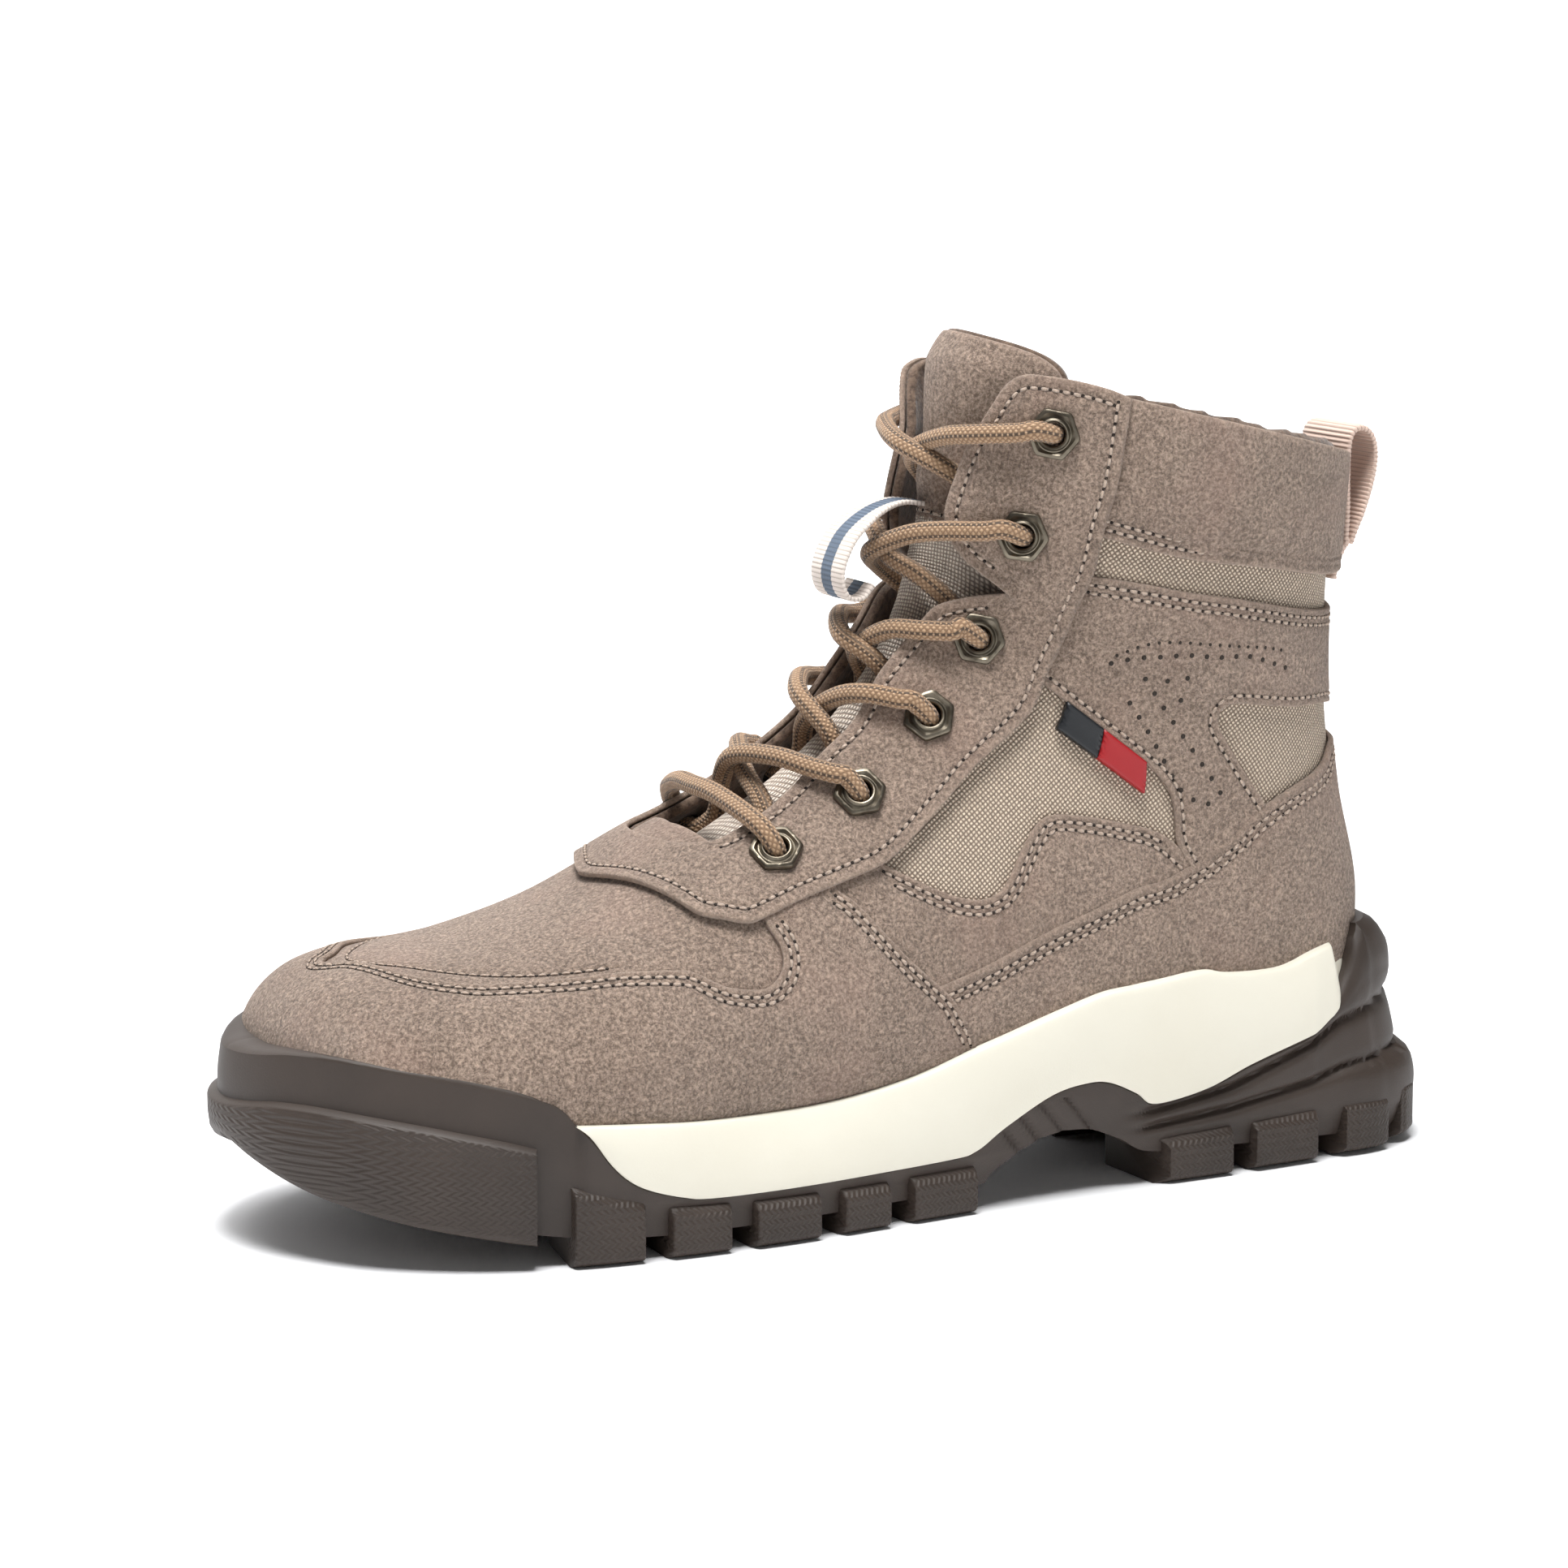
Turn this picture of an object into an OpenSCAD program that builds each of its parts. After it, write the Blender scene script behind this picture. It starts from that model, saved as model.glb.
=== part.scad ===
/* [Size] */
// Length of the sole from the back of the heel to the tip of the toe
sole_length = 300; // [285:5:320]

/* [Upper] */
// Thickness of the suede panels
suede_t = 1.2; // [0.9:0.1:1.2]
// Thickness of the canvas panels
canvas_t = 1.4; // [0.8:0.1:1.4]
// Thickness of the linings
lining_t = 1; // [0.6:0.1:1.1]
// Wall of the steel toe cap
cap_t = 1.6; // [1.2:0.1:1.7]

/* [Laces] */
// Diameter of the lace
lace_d = 4.6; // [4:0.1:4.8]
// Width of the eyelets across their flats
eyelet_flats = 11; // [10:0.5:12]
// Bore of the eyelets
eyelet_bore = 5.6; // [5.4:0.1:6]

/* [Webbing] */
// Width of the heel pull loop
heel_loop_w = 22; // [18:1:24]
// Width of the loop on the tongue
tongue_loop_w = 14; // [10:1:16]

/* [Hidden] */

// Lines round the upper from the toe tip to above the collar: front or top point x and z,
// rear or bottom point x and z, half width outside and inside, middle y,
// height share of the widest place, squareness of the rear half and of the front half
stations = [
    [140, 36, 140, 36, 0, 0, -7, .50, 2.0, 2.0],
    [137, 50, 137, 24, 23, 20, -7, .45, 2.4, 2.3],
    [128, 59, 128, 22, 36, 30, -6, .40, 3.0, 2.4],
    [113, 63, 113, 22, 44, 37, -4, .36, 3.4, 2.5],
    [93, 66, 92, 22, 49, 42, -2, .33, 3.6, 2.5],
    [71, 73, 65, 22, 51, 44, 0, .30, 3.6, 2.4],
    [50, 84, 36, 22, 49, 42, 0, .28, 3.4, 2.3],
    [28, 96, 2, 23, 45, 38, 1, .27, 3.2, 2.2],
    [10, 109, -38, 25, 40, 34, 2, .28, 3.0, 2.2],
    [-3, 124, -88, 27, 37, 34, 2, .30, 2.8, 2.2],
    [-10, 137, -125, 30, 35, 33, 1, .36, 2.6, 2.2],
    [-14, 149, -134, 56, 35, 34, 0, .42, 2.3, 2.2],
    [-17, 160, -129, 84, 36, 35, 0, .46, 2.2, 2.2],
    [-20, 170, -126, 110, 37, 36, 0, .48, 2.2, 2.2],
    [-23, 180, -126, 137, 38, 37, 0, .48, 2.2, 2.2],
    [-26, 191, -128, 166, 39, 38, 0, .48, 2.2, 2.2],
    [-30, 203, -131, 194, 39, 38, 0, .48, 2.2, 2.2]
];
rim = 15;              // the line at the collar rim
k = sole_length / 300; // scale of every outline

// Depth of each layer below (-) or above (+) the outer suede surface: [inner face, outer face]
gap = 0.5;
suede = [-suede_t, 0];
overlay = [gap, gap + suede_t];
canvas = [-suede_t - gap - canvas_t, -suede_t - gap];
cap = [-suede_t - 2 * gap - cap_t, -suede_t - 2 * gap];
foam = [-5.4, canvas[0] - gap - 0.3];
side_lining = [-6 - lining_t, -6];
front_lining = [-4.6 - lining_t, -4.6];
tongue_top = -9.9;     // top of the tongue where it lies under the facings
tongue_rise = 4.6;     // how much higher the tongue is along its middle
tongue_sheet = 1.2;
tongue_foam_t = 2.2;
tongue_gap = 0.8;

function lerp(a, b, f) = a + (b - a) * f;
function catmull(p0, p1, p2, p3, f) =
    (2 * p1 + (p2 - p0) * f + (2 * p0 - 5 * p1 + 4 * p2 - p3) * f * f
    + (3 * p1 - p0 - 3 * p2 + p3) * f * f * f) / 2;
// The line before the toe tip is the first one turned upside down
function across_toe(r) = [r[2], r[3], r[0], r[1], -r[4], -r[5], r[6], r[7], r[8], r[9]];
function line_at(t) =
    let (last = len(stations) - 1, c = min(max(t, 0), last), i = min(floor(c), last - 1))
    let (before = i > 0 ? stations[i - 1] : across_toe(stations[1]))
    let (after = i + 2 <= last ? stations[i + 2] : 2 * stations[last] - stations[last - 1])
    catmull(before, stations[i], stations[i + 1], after, c - i);
// A point of the outer surface: t is the line, a the angle from the front ridge, plus to the outer side
function shape_at(t, a) =
    let (r = line_at(t), c = cos(a), s = sin(a), n = c > 0 ? r[9] : r[8])
    let (size = pow(pow(abs(c), n) + pow(abs(s), n), -1 / n), u = c * size, v = s * size)
    let (q = u > 0 ? r[7] + (1 - r[7]) * u : r[7] * (1 + u))
    k * [lerp(r[2], r[0], q), r[6] + v * (v > 0 ? r[4] : r[5]), lerp(r[3], r[1], q)];
function unit(v) = v / norm(v);
function along(t, a) =
    unit(shape_at(min(t, len(stations) - 1.02) + 0.02, a) - shape_at(max(t, 0.04) - 0.02, a));
function outward(t, a) = unit(cross(shape_at(t, a + 1) - shape_at(t, a - 1), along(t, a)));
function skin(t, a, h) = shape_at(t, a) + h * outward(t, a);
// Half lines from t0 to t1
function steps(t0, t1, step = 0.5) = concat(
    [t0], [for (i = [ceil(t0 / step + 0.3):floor(t1 / step - 0.3)]) i * step], [t1]);

// A closed shell between two grids of points; filled says which cells of the grid are there
module grid_shell(inner, outer, filled = function(i, j) true) {
    rows = len(inner) - 1;
    cols = len(inner[0]) - 1;
    w = cols + 1;
    half = (rows + 1) * w;
    there = function(i, j) i >= 0 && j >= 0 && i < rows && j < cols && filled(i, j);
    faces = [
        for (i = [0:rows - 1], j = [0:cols - 1])
            if (there(i, j))
                let (a = i * w + j, b = a + 1, c = a + w, d = c + 1)
                let (oa = a + half, ob = b + half, oc = c + half, od = d + half)
                each [
                    [a, b, d], [a, d, c], [oa, oc, od], [oa, od, ob],
                    if (!there(i - 1, j)) each [[oa, ob, b], [oa, b, a]],
                    if (!there(i + 1, j)) each [[oc, c, d], [oc, d, od]],
                    if (!there(i, j - 1)) each [[oa, a, c], [oa, c, oc]],
                    if (!there(i, j + 1)) each [[ob, od, d], [ob, d, b]]
                ]
    ];
    polyhedron([for (g = [inner, outer], row = g) each row], faces);
}

// A panel on one side, 1 outer or -1 inner: on each line ts it runs between the angles lo and hi
module panel(side, ts, lo, hi, cols, layer) {
    grid = function(h) [
        for (t = ts) [
            for (j = [0:cols])
                let (f = side > 0 ? j / cols : 1 - j / cols)
                skin(t, side * lerp(lookup(t, lo), lookup(t, hi), f), h)
        ]
    ];
    grid_shell(grid(layer[0]), grid(layer[1]));
}

// A panel over both sides, joined across the front as far as the line join
module saddle(ts, lo, hi, cols, join, layer, front = [[0, 0]], swell = 0) {
    grid = function(h, more) [
        for (i = [0:len(ts) - 1]) [
            for (j = [-cols - 1:cols])
                let (side = j < 0 ? -1 : 1, f = (j < 0 ? -1 - j : j) / cols, t = ts[i])
                let (a = lerp(lookup(t, lo), lookup(t, hi), f))
                skin(max(t, lookup(a, front) + 0.08 * i), side * a, h + more * (1 - t / 4))
        ]
    ];
    grid_shell(grid(layer[0], 0), grid(layer[1], swell), function(i, j) j != cols || ts[i] < join);
}

// A panel over both sides, joined across the back from the line join up
module cradle(ts, lo, hi, cols, join, layer) {
    grid = function(h) [
        for (t = ts) [
            for (j = [0:2 * cols + 1])
                let (side = j > cols ? -1 : 1, f = (j > cols ? 2 * cols + 1 - j : j) / cols)
                skin(t, side * lerp(lookup(t, lo), lookup(t, hi), f), h)
        ]
    ];
    grid_shell(grid(layer[0]), grid(layer[1]), function(i, j) j != cols || ts[i] >= join);
}
// A flat strip bent along points in the XZ plane, centred on y = 0
module ribbon(points, thick, w) {
    last = len(points) - 1;
    normal = [for (i = [0:last])
        let (d = points[min(i + 1, last)] - points[max(i - 1, 0)]) [-d[1], d[0]] / norm(d) * thick / 2];
    translate([0, w / 2, 0]) rotate([90, 0, 0]) linear_extrude(w) polygon(concat(
        [for (i = [0:last]) points[i] + normal[i]], [for (i = [last:-1:0]) points[i] - normal[i]]));
}
// A round cord through points, with a ring of sides on each
module cord(points, d, sides = 8) {
    last = len(points) - 1;
    way = [for (i = [0:last]) unit(points[min(i + 1, last)] - points[max(i - 1, 0)])];
    frames = [for (i = 0, u = unit(cross(way[0], [0.3, 0.5, 0.8])); i <= last;
        i = i + 1, u = i > last ? u : unit(u - way[i] * (u * way[i]))) u];
    polyhedron(
        [for (i = [0:last], j = [0:sides - 1])
            let (a = 360 * j / sides)
            points[i] + d / 2 * (cos(a) * frames[i] + sin(a) * cross(way[i], frames[i]))],
        concat(
            [for (i = [0:last - 1], j = [0:sides - 1])
                let (a = i * sides + j, b = i * sides + (j + 1) % sides)
                each [[a, b + sides, b], [a, a + sides, b + sides]]],
            [[for (j = [0:sides - 1]) j], [for (j = [sides - 1:-1:0]) last * sides + j]]
        ));
}
// Places children on the upper at a line and angle, their z pointing outward
module on_skin(t, a, h = 0) {
    z = outward(t, a);
    x = unit(along(t, a) - z * (along(t, a) * z));
    y = cross(z, x);
    p = skin(t, a, h);
    multmatrix([[x[0], y[0], z[0], p[0]], [x[1], y[1], z[1], p[1]], [x[2], y[2], z[2], p[2]], [0, 0, 0, 1]])
        children();
}

// ---- outlines on the upper: [line, angle] unless said otherwise ----
hem = [[0, 134], [8, 138], [9, 142], [9.6, 152], [10, 162], [10.4, 171], [11, 178.5], [15, 178.5]];
inner_hem = [[0, 120], [8, 120], [9, 126], [9.6, 138], [10, 152], [10.4, 166], [11, 178.5], [15, 178.5]];
plug_seam = [
    [0, 3], [2.4, 3], [2.65, 12], [3.1, 30], [3.55, 38], [4, 41], [4.55, 45], [5, 48], [5.4, 54],
    [5.8, 64], [6.1, 68], [6.3, 67], [6.45, 60], [6.6, 55], [7.1, 55], [7.3, 66], [7.4, 74], [7.6, 88]
];
plug_edge = [
    [2.6, 6], [2.75, 10], [3.1, 27], [3.55, 35], [4, 38.5], [4.55, 42.5], [5, 45.5], [5.4, 51],
    [5.8, 61], [6.1, 64.5], [6.25, 64], [6.4, 57], [6.5, 53]
];
plug_rear = [[0, 4], [6.1, 4], [6.2, 28], [6.5, 30]];
// Front edge of the eyestay: [angle, line]
eyestay_front = [[0, 5.3], [21, 5.55], [34, 5.72], [43, 5.9], [48, 6.1], [52, 6.3], [90, 6.3]];
throat = [
    [5.3, 3], [6.2, 3], [6.4, 24], [7.2, 25], [7.8, 22], [8.3, 22], [9, 18], [10, 24], [10.4, 27],
    [10.9, 36], [11.2, 43], [11.3, 33], [11.6, 26], [12, 24], [12.8, 25], [13.6, 27], [14.5, 32],
    [14.8, 38], [15, 46]
];
eyestay_rear = [
    [5.3, 50], [6.3, 52], [7.2, 53], [7.7, 54], [8.3, 51], [9, 49], [10.3, 52], [10.6, 53],
    [12.3, 63], [15, 66]
];
function shifted(list, by) = [for (p = list) [p[0], p[1] + by]];
eyelets = [[6.8, 38], [7.8, 38], [8.9, 36], [10.3, 38], [12.3, 46], [14.2, 49]];
eyelet_hole_d = eyelet_bore + 2.6;
throat_lines = [
    6.5, 7.1, 7.6, 8, 8.5, 9, 9.5, 10, 10.4, 10.9, 11.2, 11.3, 11.6, 12, 12.5, 13, 13.6, 14.2, 14.6, 15
];
counter_edge = [
    [7.65, 84], [8, 84], [8.5, 82], [9.3, 83], [9.95, 86], [10.45, 92], [11.1, 107], [11.55, 121],
    [12.05, 139], [12.35, 149], [12.6, 172]
];
wave_edge = [
    [7.2, 51], [7.6, 54], [7.9, 63], [8.1, 69], [8.35, 70], [8.7, 65], [9.05, 63], [9.35, 66], [9.8, 76]
];
wave_foot = [[7.2, 57], [7.3, 64], [7.4, 72], [7.5, 78], [7.6, 82], [8.5, 80], [9.3, 81], [9.8, 82]];
// Outlines by angle: [angle, line]
ankle_angles = [56, 66, 72, 77, 79, 81, 84, 91, 96, 101, 110, 120, 130, 140, 150, 160, 170, 178.5];
ankle_foot = [
    [56, 10.5], [76, 10.43], [79, 10.33], [81, 9.95], [84, 9.95], [90, 10.45], [101, 11], [180, 12]
];
window_foot = [[91, 11.43], [96, 11.2], [101, 11.06], [180, 12.1]];
window_top = [[91, 11.6], [94, 11.73], [100, 11.93], [140, 12.68], [176, 12.9]];
ankle_top = [[64, 12.33], [82, 12.78], [105, 13.2], [136, 13.55], [178, 13.8]];
collar_angles = [67, 75, 84, 93, 102, 110, 118, 126, 134, 142, 150, 158, 166, 172, 178.5];
collar_foot = [[67, 12.95], [84, 13.25], [110, 13.65], [142, 13.93], [178, 14.1]];

// ---- sole outlines ----
sole_plan = [ // x, outer y, inner y
    [-112, 37, -34], [-85, 40, -35], [-55, 42, -35], [-25, 45, -37], [5, 49, -42], [35, 53, -48],
    [65, 54, -52], [90, 52, -53], [110, 46, -51], [128, 35, -45], [140, 21, -36], [147, 8, -25],
    [150, -5, -10]
];
sole_root = [ // x, height of the underside between the lugs
    [-150, 12], [-138, 9], [-120, 7], [-60, 7], [-50, 13], [-40, 16], [-30, 15], [-20, 8], [-10, 6],
    [50, 6], [75, 7], [95, 9], [120, 15], [140, 23], [150, 31]
];
sole_seam = [ // x, height of the seam between outsole and midsole
    [-150, 34], [-118, 34], [-108, 31], [-90, 26], [-77, 21], [-63, 20], [-56, 24], [-47, 26.5],
    [-35, 25], [-22, 19], [-14, 13.5], [27, 12.5], [54, 12.5], [64, 14], [72, 18], [80, 20], [150, 20.6]
];
// Round the heel by angle, then forwards by x
heel_middle = [-108, 1.5];
heel_angles = [177, 155, 133, 112];
side_x = [-108, -97, -85, -77, -63, -56, -47, -35, -22, -14, 5, 27, 54, 72, 86];
toe_x = [95, 105, 115, 124, 132, 139, 145, 149];
heel_n = len(heel_angles);
// Where the midsole's rim grips the upper and where its floor meets it, heel to front: [line, angle]
rim_line = [
    [10.95, 177], [10.9, 160], [10.7, 145], [10.4, 131], [10.1, 120], [9.75, 115], [9.35, 109],
    [9.2, 106], [8.85, 102], [8.7, 101], [8.5, 100], [8.2, 103], [7.85, 107], [7.55, 110], [7, 117],
    [6.35, 120.5], [5.45, 117], [4.8, 112], [4.25, 108]
];
floor_line = [
    [10.3, 177], [10.25, 172], [10.1, 167], [9.95, 163], [9.7, 160], [9.45, 158], [9.2, 158],
    [9, 158], [8.75, 158], [8.6, 158], [8.4, 158], [8.1, 158], [7.8, 158], [7.5, 158], [7, 158],
    [6.3, 158], [5.4, 158], [4.8, 158], [4.25, 158]
];
rim_w = 2.5;       // width of the midsole's rim
clearance = 0.8;   // between the upper and the sole
glue = 0.3;        // between the layers of the sole
wall_glue = 0.7;   // between the midsole and the heel wall
sole_middle = [[-150, 1.5], [-85, 2.5], [5, 3.5], [65, 1], [110, -2.5], [150, -7]];

function smooth(table, x) =
    let (i = max([for (n = [0:len(table) - 2]) if (table[n][0] <= x || n == 0) n]))
    let (p1 = table[i], p2 = table[i + 1])
    let (p0 = i > 0 ? table[i - 1] : p1, p3 = i + 2 < len(table) ? table[i + 2] : p2)
    catmull(p0, p1, p2, p3, (x - p1[0]) / (p2[0] - p1[0]));
function plan(x, side, inset) =
    let (r = smooth(sole_plan, x), y = side > 0 ? r[1] : r[2], mid = (r[1] + r[2]) / 2)
    [x, side * max(side * (y - mid) - inset, 0.4) + mid];
// Outline of the sole at height z, n-th place from the back of the heel
function sole_edge(n, side, z, half_x, half_y, inset) =
    let (a = n < heel_n ? heel_angles[n] : 90)
    let (p = n < heel_n
        ? heel_middle + [half_x * cos(a), side * half_y * sin(a)]
        : plan(concat(side_x, toe_x)[n - heel_n], side, inset))
    k * [p[0], p[1], z];
function last_side() = heel_n + len(side_x) - 1;
function midsole_edge(n, side) =
    let (p = sole_edge(n, side, 0, 35, 35.5, 1)) [p[0], p[1], k * lookup(p[0] / k, sole_seam)];
function level(v) = unit([v[0], v[1], 0]);
function rim_out(n, side) =
    cup(n, side, 0)
    + (n < heel_n ? rim_w - 1 : rim_w) * level(outward(rim_line[n][0], side * rim_line[n][1]));
function core(n, side) =
    let (p = midsole_edge(n, side), m = k * lookup(p[0] / k, sole_middle), in = min(8, abs(p[1] - m) * 0.6))
    [p[0] - (n < 2 ? -8 : 0), p[1] - side * in, min(p[2], k * 17)];
// Inner wall of the cup from the rim (f = 0) to the floor (f = 1)
function cup(n, side, f) =
    let (p = lerp(rim_line[n], floor_line[n], f)) skin(p[0], side * p[1], clearance);

// A solid through sections of paired points, the first half outer side and the second half inner side;
// ends lists the triangles of an end, each in the order of the section's points
module loft(sections, other_diagonal = false, ends = []) {
    m = len(sections[0]);
    last = len(sections) - 1;
    faces = concat(
        [for (n = [0:last - 1], i = [0:m - 1])
            let (a = n * m + i, b = n * m + (i + 1) % m, c = a + m, d = b + m)
            each other_diagonal ? [[a, c, b], [b, c, d]] : [[a, d, b], [a, c, d]]],
        [for (e = len(ends) > 0 ? ends : strips(m), end = [0, last])
            end * [m, m, m] + (end == 0 ? e : [e[0], e[2], e[1]])]
    );
    polyhedron([for (s = sections) each s], faces);
}
// End faces that join each point to the one across
function strips(m) = [for (i = [0:m / 2 - 2]) each [[i, i + 1, m - 2 - i], [i, m - 2 - i, m - 1 - i]]];
function flipped(list) = [for (i = [len(list) - 1:-1:0]) list[i]];

// End faces of a cup: its wall on each side, and its floor between them
cup_m = 20;
cup_wall = [[0, 8, 9], [0, 1, 8], [1, 7, 8], [1, 2, 7], [2, 6, 7], [2, 3, 6], [3, 5, 6], [3, 4, 5]];
cup_ends = concat(
    cup_wall, [for (f = cup_wall) [cup_m - 1 - f[2], cup_m - 1 - f[1], cup_m - 1 - f[0]]],
    [[0, 9, cup_m - 10], [0, cup_m - 10, cup_m - 1]]);
module midsole() color("ivory") {
    side = function(n, s)
        let (low = midsole_edge(n, s), high = rim_out(n, s), bulge = n < heel_n ? 0 : 0.6)
        [core(n, s), low, (low + high) / 2 + [0, s * bulge, 0], high,
            for (f = [0, 0.2, 0.4, 0.6, 0.8, 1]) cup(n, s, f)];
    loft([for (n = [0:last_side()]) concat(side(n, 1), flipped(side(n, -1)))], ends = cup_ends);
}

lug_x = [[-128, -114], [-109, -90], [-85, -64], [-14, 4], [9, 23], [28, 45], [50, 66], [71, 87]];
lug_reach = 24;
lug_top = 9;       // the lugs are rooted this high
rubber = [0.34, 0.3, 0.26];
// Height of the heel wall and how far it stands out behind the midsole
heel_wall = [[0, 7], [0.2, 7.5], [0.28, 5.6], [0.5, 6], [0.58, 4.2], [0.8, 4], [1, 2.4]];
module lug(x, y0, y1)
    translate([0, k * y1, 0]) rotate([90, 0, 0]) linear_extrude(k * (y1 - y0))
        polygon(k * [[x[0] + 2, 0], [x[1] - 2, 0], [x[1], 3], [x[1], lug_top], [x[0], lug_top], [x[0], 3]]);
// The sole plate with the heel wall, the toe band and the toe block, moulded as one
module upper_moulding() resize([0, 0, 0]) union() {
    base = function(n, s)
        let (edge = n <= last_side() ? midsole_edge(n, s) - [0, 0, glue] : sole_edge(n, s, 0, 0, 0, 0))
        let (out = n < heel_n ? sole_edge(n, s, 0, 42, 37, 0) : sole_edge(n, s, 0, 0, 0, 0))
        let (root = k * lookup(out[0] / k, sole_root), top = k * lookup(edge[0] / k, sole_seam) - glue)
        let (inner = n < heel_n ? sole_edge(n, s, 0, 38, 33, 0) : sole_edge(n, s, 0, 0, 0, 4))
        let (ledge = max(top, root + 4.5), middle = k * lookup(edge[0] / k, sole_middle))
        [[inner[0], inner[1], root], [out[0], out[1], root + 3], [out[0], out[1], max(top - 2, root + 4)],
            [edge[0], edge[1], ledge],
            n <= last_side() ? core(n, s) - [0, 0, glue]
                : [edge[0], edge[1] - s * min(3, abs(edge[1] - middle) / 2), ledge]];
    loft([for (n = [0:last_side() + len(toe_x)]) concat(base(n, 1), flipped(base(n, -1)))], true);
    places = concat([for (n = [heel_n:-1:0]) [n, 1]], [for (n = [0:heel_n]) [n, -1]]);
    wall = function(more) [
        for (w = heel_wall) [
            for (p = places)
                let (low = midsole_edge(p[0], p[1]), high = rim_out(p[0], p[1]))
                let (at = lerp(low - [0, 0, 2], high, w[0]))
                let (fade = p[0] == heel_n ? 0.3 : 1)
                at + (more ? w[1] * fade : wall_glue) * level(at - k * [heel_middle[0], heel_middle[1], 0])
        ]
    ];
    grid_shell(wall(false), wall(true));
    toe_lines = [0.1, 0.4, 0.7, 1, 1.3, 1.6, 2, 2.5, 3, 3.5, 4];
    saddle(toe_lines, [[0, 3], [1, 3], [1.3, 40], [1.6, 66], [2.6, 74], [3.5, 80], [4, 90]],
        [[0, 150], [4, 150]], 7, 1, [clearance, 3.6], swell = 3.4);
    saddle(toe_lines, [[0, 3], [0.6, 3], [0.7, 40], [1, 66], [1.6, 84], [2.6, 92], [3.5, 98], [4, 104]],
        [[0, 136], [4, 136]], 5, 0.7, [3.2, 5.8], swell = 4);
}
module outsole() color(rubber) {
    upper_moulding();
    for (x = lug_x) {
        middle = (x[0] + x[1]) / 2;
        out = plan(middle, 1, 0)[1];
        in = plan(middle, -1, 0)[1];
        lug(x, out - lug_reach, out + 0.5);
        lug(x, in - 0.5, in + lug_reach);
        if (middle > 0) lug(x + [3, 3], in + lug_reach + 6, out - lug_reach - 6);
    }
}

// ---- inside the boot ----
floor_lines = [2.2, 2.5, 3, 4, 5, 6, 7, 8, 8.6, 9.1, 9.4, 9.6];
heel_round = [[8, 1], [8.6, 0.98], [9.1, 0.86], [9.4, 0.7], [9.6, 0.5]];
// A sheet from h0 to h1 above the floor, share of the width of the upper
module floor_sheet(h0, h1, share) {
    edge = function(t, side, h)
        let (r = line_at(t), half = side > 0 ? r[4] : r[5])
        let (y = min(share * half, half - 8.4) * lookup(t, heel_round))
        k * [r[2], r[6] + side * y, r[3]] + [0, 0, h];
    loft([for (t = flipped(floor_lines)) [edge(t, 1, h0), edge(t, 1, h1), edge(t, -1, h1), edge(t, -1, h0)]]);
}
// Heights above the upper's floor
plate_z = [2, 2.8];
board_z = [3.1, 4.9];
footbed_z = [5.3, 9.8];
module puncture_plate() color("silver") floor_sheet(plate_z[0], plate_z[1], 0.55);
module insole_board() color("tan") floor_sheet(board_z[0], board_z[1], 0.6);
module footbed() color("dimgray") floor_sheet(footbed_z[0], footbed_z[1], 0.7);
cap_lines = [0.15, 0.5, 1, 1.5, 2, 2.5, 3, 3.5, 4.1];
module toe_cap() color("lightsteelblue") saddle(cap_lines, [[0, 5], [5, 5]], inner_hem, 8, 9, cap);
module toe_cap_edge_strip() color("black")
    saddle([4.2, 4.5, 4.8], [[0, 5], [5, 5]], [[0, 100], [5, 100]], 7, 9, cap);
stiffener_edge = [[8.6, 96], [10, 98], [11.5, 118], [12, 140]];
module heel_stiffener() color("burlywood")
    cradle(concat(steps(8.7, 11.5), [11.9]), stiffener_edge, inner_hem, 5, 9.9, foam);
module vamp_lining() color("gainsboro")
    saddle(concat([0.2, 0.6], steps(1, 5.5), [6.1]), [[0, 5], [7, 5]], inner_hem, 8, 9, front_lining);

// ---- suede and canvas panels of the upper ----
taupe = [0.65, 0.56, 0.49];
linen = [0.75, 0.7, 0.62];
mudguard_lines = [
    0.15, 0.5, 1, 1.5, 2, 2.4, 2.65, 3.1, 3.55, 4, 4.55, 5, 5.4, 5.8, 6.1, 6.3, 6.45, 6.6, 7.1, 7.3, 7.4, 7.6
];
module toe_mudguard() color(taupe)
    saddle(mudguard_lines, plug_seam, hem, 9, 2.4, suede);
plug_lines = [2.6, 2.75, 3.1, 3.55, 4, 4.55, 5, 5.4, 5.8, 6.1, 6.25, 6.4, 6.5];
module vamp_plug() color(taupe) saddle(plug_lines, plug_rear, plug_edge, 6, 6.1, suede);
module eyelet_holes(sides) for (s = sides, e = eyelets)
    on_skin(e[0], s * e[1], -8) cylinder(d = eyelet_hole_d, h = 14, $fn = 24);
module eyestay() color(taupe) difference() {
    front_lines = [5.3, 5.5, 5.7, 5.9, 6.1, 6.2, 6.4];
    saddle(concat(front_lines, throat_lines), throat, eyestay_rear, 4, 6.2, overlay, eyestay_front);
    eyelet_holes([1, -1]);
}
module facing_lining(side) color("rosybrown") difference() {
    panel(side, throat_lines, throat, shifted(eyestay_rear, -5), 3, [canvas[0], -0.1]);
    eyelet_holes([side]);
}
module facing_lining_lateral() facing_lining(1);
module facing_lining_medial() facing_lining(-1);
quarter_lines = [6.6, 7, 7.5, 8, 8.5, 9, 9.5, 10, 10.5, 11, 11.5, 12, 13, 14, 15];
module quarter_canvas(side) color(linen)
    panel(side, quarter_lines, shifted(eyestay_rear, -4), inner_hem, 14, canvas);
module quarter_canvas_lateral() quarter_canvas(1);
module quarter_canvas_medial() quarter_canvas(-1);
module quarter_lining(side) color("gainsboro")
    panel(side, quarter_lines, shifted(eyestay_rear, 8), inner_hem, 9, side_lining);
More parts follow.
